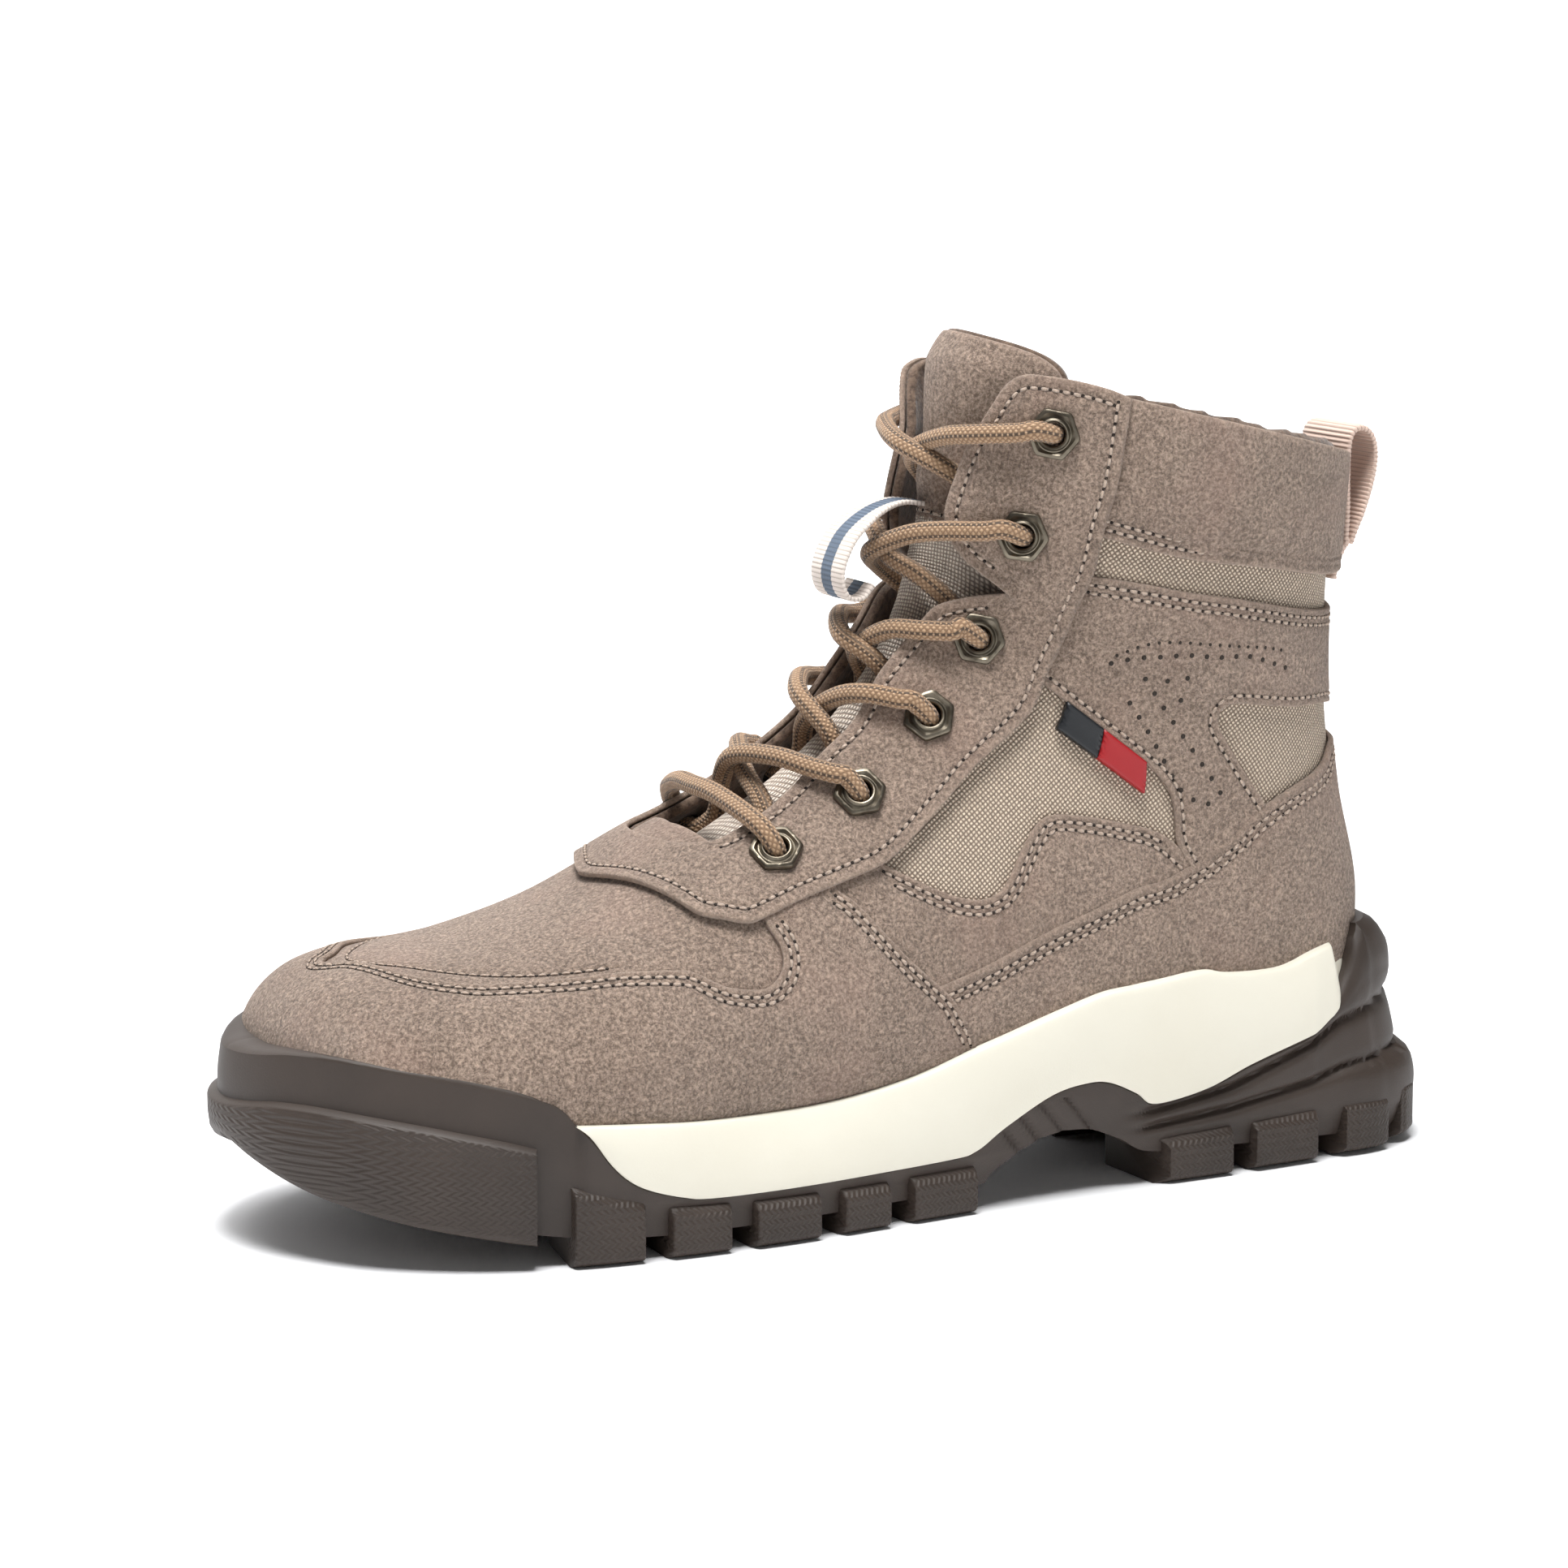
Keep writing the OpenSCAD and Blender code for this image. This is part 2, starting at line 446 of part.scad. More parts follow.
module quarter_lining_lateral() quarter_lining(1);
module quarter_lining_medial() quarter_lining(-1);
wave_lines = [7.2, 7.3, 7.4, 7.5, 7.6, 7.9, 8.1, 8.35, 8.7, 9.05, 9.35, 9.8];
module lower_overlay(side) color(taupe) panel(side, wave_lines, wave_edge, wave_foot, 3, suede);
module lower_overlay_lateral() lower_overlay(1);
module lower_overlay_medial() lower_overlay(-1);
// A panel on one side with its rows of points given by the function line_of(row, angle)
module fan(side, angles, rows, line_of, layer, filled = function(i, j) true) {
    last = len(angles) - 1;
    grid = function(h) [
        for (i = [0:rows]) [
            for (j = [0:last])
                let (a = angles[side > 0 ? j : last - j], t = line_of(i, a))
                skin(t, side * max(a, lookup(t, eyestay_rear) + 1), h)
        ]
    ];
    grid_shell(grid(layer[0]), grid(layer[1]), function(i, j) filled(i, side > 0 ? j : last - 1 - j));
}
module ankle_overlay(side) color(taupe) fan(side, ankle_angles, 6,
    function(i, a) i < 3 ? lerp(lookup(a, ankle_foot), lookup(a, window_foot), i / 2)
        : lerp(lookup(a, window_top), lookup(a, ankle_top), (i - 3) / 3),
    suede,
    function(i, j) i > 2 || ankle_angles[j + 1] <= (i == 2 ? 91 : 101));
module ankle_overlay_lateral() ankle_overlay(1);
module ankle_overlay_medial() ankle_overlay(-1);
counter_lines = [7.68, 8, 8.5, 9, 9.5, 10, 10.45, 10.8, 11.1, 11.55, 12.05, 12.35, 12.6];
module heel_cover() color(taupe) cradle(counter_lines, counter_edge, hem, 8, 10, suede);
module collar_cover(side) color(taupe)
    fan(side, collar_angles, 4, function(i, a) lerp(lookup(a, collar_foot), rim, i / 4), suede);
module collar_cover_lateral() collar_cover(1);
module collar_cover_medial() collar_cover(-1);
module collar_foam(side) color("khaki")
    panel(side, [13, 13.5, 14, 14.5, 14.9], [[13, 72], [15, 72]], [[13, 174], [15, 174]], 10, foam);
module collar_foam_lateral() collar_foam(1);
module collar_foam_medial() collar_foam(-1);
module side_label() color("darkred")
    panel(1, [10, 10.2, 10.38], [[10, 56.5], [10.4, 59]], [[10, 72], [10.4, 73]], 2, [-1.5, 0.6]);

// ---- eyelets and lace ----
module eyelet() {
    rim_z = overlay[1] + 0.55;
    rim_h = 1.1;
    rivet_z = canvas[0] - 1;
    difference() {
        union() {
            translate([0, 0, rim_z]) cylinder(d = eyelet_flats / cos(30), h = rim_h, $fn = 6);
            translate([0, 0, rivet_z]) {
                cylinder(d = eyelet_bore + 1.6, h = rim_z - rivet_z + 0.2, $fn = 32);
                cylinder(d = eyelet_bore + 3.6, h = 0.5, $fn = 32);
            }
        }
        translate([0, 0, -9]) cylinder(d = eyelet_bore, h = 16, $fn = 32);
    }
}
module eyelet_row(side) color("darkolivegreen") for (e = eyelets) on_skin(e[0], side * e[1]) eyelet();
module eyelets_lateral() eyelet_row(1);
module eyelets_medial() eyelet_row(-1);

// The lace goes in at an eyelet from outside, under its facing, and over to the next eyelet across
lace_in = canvas[0] - 3.4;
// Line on which each crossing passes the middle, and the side whose strand lies on top there
crossings = [[7.2, 1], [8.2, -1], [9.15, -1], [10.75, 1], [13.1, -1]];
function strand(n, side) =
    let (from = eyelets[n], to = eyelets[n + 1], mid = crossings[n][0], top = crossings[n][1] == -side)
    let (edge = lookup(from[0] + 0.15, throat), rim_a = lookup(to[0] - 0.3, throat))
    let (high = top ? 4.4 : -0.6)
    [for (p = [
        [from[0], from[1], 2], [from[0], from[1], -1.6], [from[0] + 0.02, from[1] - 4.5, -5.6],
        [lerp(from[0], mid, 0.25), lerp(from[1], edge, 0.5), lace_in],
        [lerp(from[0], mid, 0.45), edge + 1, lace_in + 0.2],
        [lerp(from[0], mid, 0.7), edge * 0.6, (high + lace_in) * 0.45], [mid, 0, high],
        [lerp(mid, to[0], 0.35), -rim_a * 0.65, (high + 4.4) / 2 + 0.4],
        [lerp(mid, to[0], 0.6), -rim_a - 2, 4.7], [lerp(mid, to[0], 0.85), -lerp(rim_a, to[1], 0.6), 5.1],
        [to[0] - 0.03, -to[1] + 4.5, 4.9]
    ]) [p[0], side * p[1], p[2]]];
bar = [[6.78, 33.5, 4.9], [6.75, 26, 4.9], [6.72, 12, 4.3], [6.7, 0, 4.1]];
function sides(list, side) = [for (p = list) [p[0], side * p[1], p[2]]];
tucked_end = [
    [14.2, 49, 2], [14.2, 49, -1.6], [14.18, 54, -5.6], [14, 61, -8.8], [13.6, 68, -9.8], [13, 74, -9.8],
    [12.4, 78, -9.8], [11.9, 80, -9.8]
];
// The half that starts at the first eyelet of one side
function half_lace(side) = concat(
    strand(0, side), strand(1, -side), strand(2, side), strand(3, -side), strand(4, side),
    sides(tucked_end, -side));
lace_route = concat(
    flipped(half_lace(1)), sides(bar, 1), sides(flipped([for (i = [0:2]) bar[i]]), -1), half_lace(-1));
module lace() color("peru") cord([for (p = lace_route) skin(p[0], p[1], p[2])], lace_d);
aglet_l = 18;
module lace_aglets() color("saddlebrown") for (side = [1, -1]) {
    last = len(tucked_end) - 1;
    a = skin(tucked_end[last - 1][0], side * tucked_end[last - 1][1], tucked_end[last - 1][2]);
    b = skin(tucked_end[last][0], side * tucked_end[last][1], tucked_end[last][2]);
    cord([b + unit(b - a) * 0.1, b + unit(b - a) * aglet_l], lace_d - 1);
}

// ---- heel pull loop ----
loop_t = 1.2;
loop_path = [
    [-130.4, 145], [-130.3, 152], [-130.2, 160], [-130.4, 167], [-131.6, 170.6], [-134.4, 171.4],
    [-136.8, 169.4], [-137.8, 165], [-137, 159], [-134.8, 152], [-132.6, 147], [-131.7, 145]
];
module heel_loop() color("rosybrown") ribbon(k * loop_path, loop_t, heel_loop_w);
module heel_loop_base() color("rosybrown")
    ribbon(k * [[-129.2, 136], [-129.6, 140], [-130.6, 143.6]], loop_t * 1.6, heel_loop_w);

// ---- tongue ----
rise_at = [[6, 2.5], [8, tongue_rise], [13.4, tongue_rise], [15, 9], [16, 9]];
tongue_half = [[6.3, 16], [6.8, 34], [7.5, 44], [9, 46], [12, 50], [15, 50], [15.5, 34]];
module tongue_layer(ts, top, bottom, inset = 0) {
    grid = function(h) [
        for (t = ts) [
            for (j = [-6:6])
                let (a = j / 6 * (lookup(t, tongue_half) - inset), reach = lookup(t, [[13, 26], [15, 44]]))
                let (bump = pow(cos(min(abs(a) / reach, 1) * 90), 2))
                skin(t, a, h + lookup(t, rise_at) * bump)
        ]
    ];
    grid_shell(grid(tongue_top - bottom), grid(tongue_top - top));
}
tongue_lines = [6.3, 6.8, 7.5, 8, 8.5, 9, 9.5, 10, 10.5, 11, 11.6];
top_lines = [11.65, 12, 12.5, 13, 13.5, 14, 14.5, 15, 15.5];
foam_top = tongue_sheet + tongue_gap;
lining_top = foam_top + tongue_foam_t + tongue_gap;
module tongue_canvas() color("lightgray") tongue_layer(tongue_lines, 0, tongue_sheet);
module tongue_suede_top() color(taupe) tongue_layer(top_lines, 0, tongue_sheet);
inner_lines = concat([6.8, 7.5], steps(8, 15, 1));
module tongue_foam() color("khaki")
    tongue_layer(concat(inner_lines, [15.3]), foam_top, foam_top + tongue_foam_t, 3);
module tongue_lining() color("gainsboro")
    tongue_layer(concat([6.3], inner_lines, [15.5]), lining_top, lining_top + lining_t);
tongue_loop_path = [
    [-21, 158], [-15, 158.5], [-8, 156.5], [-1.5, 151.5], [2.4, 144.5], [1.6, 138.5], [-2, 136],
    [-5.8, 136.8], [-8, 140]
];
module tongue_loop() color("silver") ribbon(k * tongue_loop_path, 1, tongue_loop_w);

outsole();
midsole();
puncture_plate();
insole_board();
footbed();
toe_cap();
toe_cap_edge_strip();
heel_stiffener();
toe_mudguard();
vamp_plug();
vamp_lining();
eyestay();
quarter_canvas_lateral();
quarter_canvas_medial();
facing_lining_lateral();
facing_lining_medial();
lower_overlay_lateral();
lower_overlay_medial();
ankle_overlay_lateral();
ankle_overlay_medial();
heel_cover();
collar_cover_lateral();
collar_cover_medial();
collar_foam_lateral();
collar_foam_medial();
quarter_lining_lateral();
quarter_lining_medial();
side_label();
eyelets_lateral();
eyelets_medial();
lace();
lace_aglets();
heel_loop_base();
heel_loop();
tongue_canvas();
tongue_suede_top();
tongue_foam();
tongue_lining();
tongue_loop();
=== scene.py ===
"""The looks of a lace-up steel toe work boot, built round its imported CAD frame.

The upper's panels are drawn on one surface, given by lines round the boot: t is a line's number, from the
toe tip to the collar, and a is an angle in degrees, from the front ridge, plus to the outer side of the foot.
Lengths are in millimetres until a mesh is made.
"""
import math

import bmesh
import bpy
import numpy as np
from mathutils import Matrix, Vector
from mathutils.geometry import delaunay_2d_cdt
from mathutils.kdtree import KDTree


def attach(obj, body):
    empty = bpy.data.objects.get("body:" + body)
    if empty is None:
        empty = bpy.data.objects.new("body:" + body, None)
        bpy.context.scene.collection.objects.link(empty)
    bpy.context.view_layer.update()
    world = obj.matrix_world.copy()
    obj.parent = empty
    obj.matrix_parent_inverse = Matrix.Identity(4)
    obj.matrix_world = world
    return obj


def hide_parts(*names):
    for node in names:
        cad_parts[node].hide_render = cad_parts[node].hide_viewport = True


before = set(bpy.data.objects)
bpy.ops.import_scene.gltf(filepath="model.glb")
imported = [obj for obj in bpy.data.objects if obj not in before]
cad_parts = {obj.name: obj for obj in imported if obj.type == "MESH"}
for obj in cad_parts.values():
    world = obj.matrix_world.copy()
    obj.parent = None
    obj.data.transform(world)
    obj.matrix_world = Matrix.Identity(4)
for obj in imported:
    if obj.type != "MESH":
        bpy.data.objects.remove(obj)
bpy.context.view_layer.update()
MM = 0.001
SIDES = (("lateral", 1), ("medial", -1))

# ---------------------------------------------------------------- the upper's surface
# front or top x and z, rear or bottom x and z, half width outside and inside, middle y,
# height share of the widest place, squareness of the rear half and of the front half
STATIONS = np.array([
    [140, 36, 140, 36, 0, 0, -7, .50, 2.0, 2.0], [137, 50, 137, 24, 23, 20, -7, .45, 2.4, 2.3],
    [128, 59, 128, 22, 36, 30, -6, .40, 3.0, 2.4], [113, 63, 113, 22, 44, 37, -4, .36, 3.4, 2.5],
    [93, 66, 92, 22, 49, 42, -2, .33, 3.6, 2.5], [71, 73, 65, 22, 51, 44, 0, .30, 3.6, 2.4],
    [50, 84, 36, 22, 49, 42, 0, .28, 3.4, 2.3], [28, 96, 2, 23, 45, 38, 1, .27, 3.2, 2.2],
    [10, 109, -38, 25, 40, 34, 2, .28, 3.0, 2.2], [-3, 124, -88, 27, 37, 34, 2, .30, 2.8, 2.2],
    [-10, 137, -125, 30, 35, 33, 1, .36, 2.6, 2.2], [-14, 149, -134, 56, 35, 34, 0, .42, 2.3, 2.2],
    [-17, 160, -129, 84, 36, 35, 0, .46, 2.2, 2.2], [-20, 170, -126, 110, 37, 36, 0, .48, 2.2, 2.2],
    [-23, 180, -126, 137, 38, 37, 0, .48, 2.2, 2.2], [-26, 191, -128, 166, 39, 38, 0, .48, 2.2, 2.2],
    [-30, 203, -131, 194, 39, 38, 0, .48, 2.2, 2.2]])
LAST = len(STATIONS) - 1
# the station before the tip mirrors the one after it, and one more follows the collar
ACROSS_TOE = STATIONS[1][[2, 3, 0, 1, 4, 5, 6, 7, 8, 9]] * [1, 1, 1, 1, -1, -1, 1, 1, 1, 1]
PADDED = np.vstack([ACROSS_TOE, STATIONS, 2 * STATIONS[-1] - STATIONS[-2]])


def catmull(p0, p1, p2, p3, f):
    return (2 * p1 + (p2 - p0) * f + (2 * p0 - 5 * p1 + 4 * p2 - p3) * f * f
            + (3 * p1 - p0 - 3 * p2 + p3) * f * f * f) / 2


def shape_at(t, a):
    """The outer surface at lines t and angles a, as an array of points."""
    t, a = np.broadcast_arrays(np.asarray(t, float), np.asarray(a, float))
    c = np.clip(t, 0, LAST)
    i = np.minimum(c.astype(int), LAST - 1)
    row = catmull(PADDED[i], PADDED[i + 1], PADDED[i + 2], PADDED[i + 3], (c - i)[..., None])
    top_x, top_z, low_x, low_z, outer, inner, middle, widest, rear, front = np.moveaxis(row, -1, 0)
    cs, sn = np.cos(np.radians(a)), np.sin(np.radians(a))
    n = np.where(cs > 0, front, rear)
    size = (np.abs(cs) ** n + np.abs(sn) ** n) ** (-1 / n)
    u, v = cs * size, sn * size
    up = np.where(u > 0, widest + (1 - widest) * u, widest * (1 + u))
    return np.stack([low_x + (top_x - low_x) * up, middle + v * np.where(v > 0, outer, inner),
                     low_z + (top_z - low_z) * up], -1)


def unit(v):
    return v / np.linalg.norm(v, axis=-1, keepdims=True)


def slopes(t, a):
    """How the surface moves per line and per degree."""
    t = np.asarray(t, float)
    ahead, behind = np.minimum(t + 0.02, LAST), np.maximum(t - 0.02, 0.02)
    return ((shape_at(ahead, a) - shape_at(behind, a)) / (ahead - behind)[..., None],
            (shape_at(t, np.asarray(a) + 0.5) - shape_at(t, np.asarray(a) - 0.5)))


def outward(t, a):
    along, round_ = slopes(t, a)
    return unit(np.cross(round_, along))


def skin(t, a, h=0.0):
    """The surface raised by h."""
    return shape_at(t, a) + np.asarray(h, float)[..., None] * outward(t, a)


# ---------------------------------------------------------------- lines on the surface
def smooth(points, per=8):
    """A curve through points."""
    p = np.array(points, float)
    if len(p) < 3:
        return p[0] + (p[-1] - p[0]) * np.linspace(0, 1, per)[:, None]
    q = np.vstack([2 * p[0] - p[1], p, 2 * p[-1] - p[-2]])
    f = np.linspace(0, 1, per, endpoint=False)[:, None]
    return np.vstack([catmull(*q[i:i + 4], f) for i in range(len(p) - 1)] + [p[-1:]])


def run(points):
    """Length along a list of points, from its start."""
    return np.r_[0, np.cumsum(np.linalg.norm(np.diff(points, axis=0), axis=1))]


def at_lengths(line, s, at):
    """A line's points at the lengths in at, where s holds the lengths of its own points."""
    return np.column_stack([np.interp(at, s, column) for column in line.T])


def even(line, step):
    """A line of (t, a) at even steps in millimetres."""
    s = run(shape_at(line[:, 0], line[:, 1]))
    return at_lengths(line, s, np.linspace(0, s[-1], max(1, round(s[-1] / step)) + 1))


def metric(along, round_):
    """The products that turn steps of (t, a) into lengths."""
    return (along * along).sum(-1), (along * round_).sum(-1), (round_ * round_).sum(-1)


def beside(line, d):
    """A line of (t, a) moved d millimetres to one side along the surface."""
    dt, da = np.gradient(line, axis=0).T
    e, f, g = metric(*slopes(line[:, 0], line[:, 1]))
    n = np.column_stack([-(f * dt + g * da), e * dt + f * da])
    size = np.sqrt(e * n[:, 0] ** 2 + 2 * f * n[:, 0] * n[:, 1] + g * n[:, 1] ** 2)
    return line + d * n / np.maximum(size, 1e-9)[:, None]


def side_of(side, points):
    return [(t, side * a) for t, a in points]


def mirrored(points):
    """The same line on the other side, in the other direction."""
    return side_of(-1, list(points)[::-1])


def across(points):
    """A line that starts on the front ridge, joined to its mirror image."""
    return mirrored(points)[:-1] + points


def behind(points):
    """The same points seen from the inner side, counted on past 180 degrees."""
    return [(t, 360 - a) for t, a in reversed(points)]


def part_of(line, t0=-1, t1=99, a0=-999, a1=999):
    keep = (line[:, 0] >= t0) & (line[:, 0] <= t1) & (line[:, 1] >= a0) & (line[:, 1] <= a1)
    return line[keep]


def seam_rows(points, gaps, **limits):
    """Lines at some distances beside a curve, cut off at limits."""
    return [part_of(beside(even(smooth(points), 0.5), d), **limits) for d in gaps]


# ---------------------------------------------------------------- materials
class Look:
    """A material in the making, with short names for the nodes that the recipes use."""

    def __init__(self, name, roughness, sheen=0.0, metallic=0.0):
        self.material = bpy.data.materials.new(name)
        self.material.use_nodes = True
        self.tree = self.material.node_tree
        self.shader = self.tree.nodes["Principled BSDF"]
        for key, value in (("Roughness", roughness), ("Metallic", metallic), ("Sheen Weight", sheen),
                           ("Sheen Roughness", 0.45)):
            self.shader.inputs[key].default_value = value
        self.place = self.node("TexCoord")["Object"]

    def node(self, kind, inputs=None, **settings):
        """A node's outputs; inputs gives its sockets a number, a colour or another node's socket."""
        made = self.tree.nodes.new("ShaderNode" + kind)
        for key, value in settings.items():
            setattr(made, key, value)
        for socket, source in (inputs or {}).items():
            if isinstance(source, bpy.types.NodeSocket):
                self.tree.links.new(source, made.inputs[socket])
            else:
                made.inputs[socket].default_value = (*source, 1) if isinstance(source, tuple) else source
        return made.outputs

    def maths(self, how, a, b=0.0):
        return self.node("Math", {0: a, 1: b}, operation=how)[0]

    def times(self, a, b):
        return self.maths("MULTIPLY", a, b)

    def plus(self, a, b):
        return self.maths("ADD", a, b)

    def sine(self, x, pitch):
        """A sine wave of x."""
        return self.maths("SINE", self.times(x, 2 * math.pi / pitch))

    def ribs(self, x, pitch):
        """Round ribs along x, a pitch apart."""
        return self.maths("ABSOLUTE", self.sine(x, 2 * pitch))

    def axes(self, vector):
        return tuple(self.node("SeparateXYZ", {0: vector}))

    def threads(self):
        """The mesh's own UV map, which holds millimetres."""
        return self.node("UVMap", uv_map="cloth")[0]

    def mark(self, name):
        """A number that the mesh holds for each point."""
        return self.node("Attribute", attribute_name=name)["Fac"]

    def ramp(self, source, *stops):
        made = self.tree.nodes.new("ShaderNodeValToRGB")
        self.tree.links.new(source, made.inputs[0])
        elements = made.color_ramp.elements
        while len(elements) < len(stops):
            elements.new(0.5)
        for element, (at, colour) in zip(elements, stops):
            element.position = at
            element.color = (*colour, 1)
        return made.outputs[0]

    def noise(self, scale, detail, roughness=0.55, place=None):
        return self.node("TexNoise", {"Vector": place or self.place, "Scale": scale, "Detail": detail,
                                      "Roughness": roughness})["Fac"]

    def blotches(self, dark, light, scale=30, spread=(0.3, 0.7)):
        """A colour that drifts between two."""
        return self.ramp(self.noise(scale, 4), (spread[0], dark), (spread[1], light))

    def bent(self, place, scale, amount):
        """Coordinates pushed about by a noise."""
        push = self.node("TexNoise", {"Vector": place, "Scale": scale, "Detail": 2.0})["Color"]
        push = self.node("VectorMath", {0: push, "Scale": amount}, operation="SCALE")[0]
        return self.node("VectorMath", {0: place, 1: push})[0]

    def mix(self, share, a, b, how="MIX"):
        return self.node("Mix", {0: share, 6: a, 7: b}, data_type="RGBA", blend_type=how)[2]

    def done(self, colour, height, depth, strength=1.0):
        """The material, with its colour and its bumps."""
        self.tree.links.new(colour, self.shader.inputs["Base Color"])
        bump = self.node("Bump", {"Height": height, "Distance": depth, "Strength": strength})[0]
        self.tree.links.new(bump, self.shader.inputs["Normal"])
        return self.material


def tinted(colour, amount):
    return tuple(min(1, c * amount) for c in colour)


def halfway(a, b):
    return tuple((p + q) / 2 for p, q in zip(a, b))


def suede(name, light, dark, pink):
    """Napped leather: coarse wormy grain, soft blotches, and paler cut edges."""
    look = Look(name, 0.95, sheen=0.2)
    grain = look.noise(1250, 5, 0.78, look.bent(look.place, 300.0, 0.0016))
    colour = look.ramp(grain, (0.39, dark), (0.485, halfway(light, dark)), (0.56, light),
                       (0.66, tinted(light, 1.4)))
    blotch = look.ramp(look.noise(30, 3), (0.5, (0, 0, 0)), (0.72, (1, 1, 1)))
    colour = look.mix(look.times(blotch, 0.3), colour, pink)
    cloud = look.ramp(look.noise(55, 2), (0.35, (0.92, 0.91, 0.9)), (0.65, (1.03, 1.03, 1.03)))
    colour = look.mix(1.0, colour, cloud, "MULTIPLY")
    colour = look.mix(look.times(look.mark("edge"), 0.5), colour, tinted(light, 1.1))
    return look.done(colour, look.plus(grain, look.times(look.noise(430, 2), 0.4)), 0.0011)


def canvas(name, light, dark, cell, turn=35.0):
    """Plain weave of square cells, turned by some degrees from upright."""
    look = Look(name, 0.9, sheen=0.1)
    uv = look.bent(look.threads(), 0.35, 0.5)
    turned = look.node("VectorRotate", {"Vector": uv, "Angle": math.radians(turn)}, rotation_type="Z_AXIS")[0]
    warp, weft, _ = look.axes(turned)
    weave = look.times(look.ribs(warp, cell), look.ribs(weft, cell))
    colour = look.ramp(weave, (0.1, dark), (0.55, halfway(light, dark)), (0.85, light))
    shade = look.ramp(look.noise(1.3, 3, 0.5, uv), (0.3, (0.82, 0.81, 0.8)), (0.7, (1.08, 1.07, 1.05)))
    return look.done(look.mix(1.0, colour, shade, "MULTIPLY"), weave, 0.0004)


def cloth(name, light, dark, scale=700.0):
    """Napped lining cloth."""
    look = Look(name, 0.95, sheen=0.3)
    grain = look.noise(scale, 4, 0.75)
    return look.done(look.ramp(grain, (0.35, dark), (0.65, light)), grain, 0.0005, 0.8)


def moulded(name, light, dark, roughness):
    """Moulded rubber, foam or plastic with a fine grain and faint blotches."""
    look = Look(name, roughness)
    return look.done(look.blotches(dark, light), look.noise(2200, 3), 0.00006, 0.6)


def tread(name, light, dark):
    """Outsole rubber, with fine upright zigzag ribs on the lugs' side faces."""
    look = Look(name, 0.58)
    x, y, z = look.axes(look.place)
    reach = look.plus(look.plus(x, look.times(y, 0.7)), look.maths("PINGPONG", z, 0.0011))
    ribs = look.times(look.times(look.sine(reach, 0.0015), look.mark("ribbed")), 0.5)
    height = look.plus(ribs, look.times(look.noise(2200, 3), 0.3))
    return look.done(look.blotches(dark, light), height, 0.00025, 0.8)


def metal(name, light, dark, roughness):
    look = Look(name, roughness, metallic=1.0)
    return look.done(look.blotches(dark, light, 260, (0.35, 0.65)), look.noise(900, 3), 0.00008, 0.4)


def braid(name, light, mid, dark):
    """Round braided cord: the UV map's first axis is millimetres along it, the second turns round it."""
    look = Look(name, 0.75, sheen=0.15)
    along, turn, _ = look.axes(look.threads())
    rows, turns = look.times(along, 1 / 1.3), look.times(turn, 10.0)
    waves = [look.plus(look.sine(look.maths(how, rows, turns), 1.0), 1.0) for how in ("ADD", "SUBTRACT")]
    weave = look.times(*waves)
    lines = look.maths("GREATER_THAN", look.sine(turn, 1 / 5), 0.72)
    fleck = look.times(lines, look.maths("LESS_THAN", weave, 2.2))
    colour = look.ramp(look.times(weave, 0.3), (0.0, mid), (0.35, light), (0.9, tinted(light, 1.25)))
    return look.done(look.mix(look.times(fleck, 0.8), colour, dark), weave, 0.00012, 0.8)


def striped(name, light, dark, stripe=None, half=0.0):
    """Ribbed webbing: the UV map holds millimetres along and across; a stripe may run along its middle."""
    look = Look(name, 0.85, sheen=0.15)
    along, over, _ = look.axes(look.threads())
    weave = look.plus(look.times(look.ribs(along, 1.05), 0.8), look.times(look.ribs(over, 0.8), 0.2))
    colour = look.ramp(weave, (0.1, dark), (0.6, light))
    if stripe:
        inner = look.maths("LESS_THAN", look.maths("ABSOLUTE", over), half)
        colour = look.mix(inner, colour, look.mix(weave, tinted(stripe, 0.6), stripe))
    return look.done(colour, weave, 0.0002, 0.8)


SUEDE = suede("taupe_suede", (0.46, 0.34, 0.262), (0.16, 0.11, 0.08), (0.43, 0.265, 0.205))
CANVAS = canvas("beige_canvas", (0.82, 0.69, 0.55), (0.24, 0.18, 0.135), 0.92)
TONGUE_CLOTH = canvas("tongue_canvas_weave", (0.92, 0.82, 0.72), (0.36, 0.29, 0.24), 0.92, turn=12.0)
LINING = cloth("brown_lining", (0.20, 0.135, 0.095), (0.055, 0.035, 0.025))
SOCK = cloth("footbed_cloth", (0.1, 0.09, 0.08), (0.035, 0.03, 0.028))
FOAM = cloth("padding_foam", (0.75, 0.66, 0.45), (0.55, 0.46, 0.3))
BOARD = cloth("pressed_board", (0.5, 0.38, 0.24), (0.38, 0.28, 0.17), 300.0)
THREAD = cloth("sewing_thread", (0.56, 0.44, 0.35), (0.40, 0.30, 0.235), 1500.0)
CREAM = moulded("cream_foam", (0.80, 0.77, 0.66), (0.77, 0.735, 0.62), 0.5)
TAPE = moulded("black_tape", (0.03, 0.03, 0.03), (0.015, 0.015, 0.015), 0.6)
COUNTER = moulded("counter_board", (0.6, 0.48, 0.32), (0.5, 0.4, 0.26), 0.7)
# near-black cones in the needle and punched holes: painted shade, standing in for the shadow inside each hole
HOLE_SHADE = moulded("needle_holes", (0.035, 0.024, 0.018), (0.02, 0.014, 0.01), 0.95)
AGLET = moulded("aglet_plastic", (0.16, 0.07, 0.03), (0.12, 0.05, 0.02), 0.25)
LABEL_BLACK = moulded("label_black", (0.010, 0.012, 0.015), (0.006, 0.007, 0.009), 0.45)
LABEL_RED = moulded("label_red", (0.36, 0.008, 0.012), (0.30, 0.006, 0.010), 0.45)
RUBBER = tread("brown_rubber", (0.048, 0.033, 0.025), (0.032, 0.022, 0.0165))
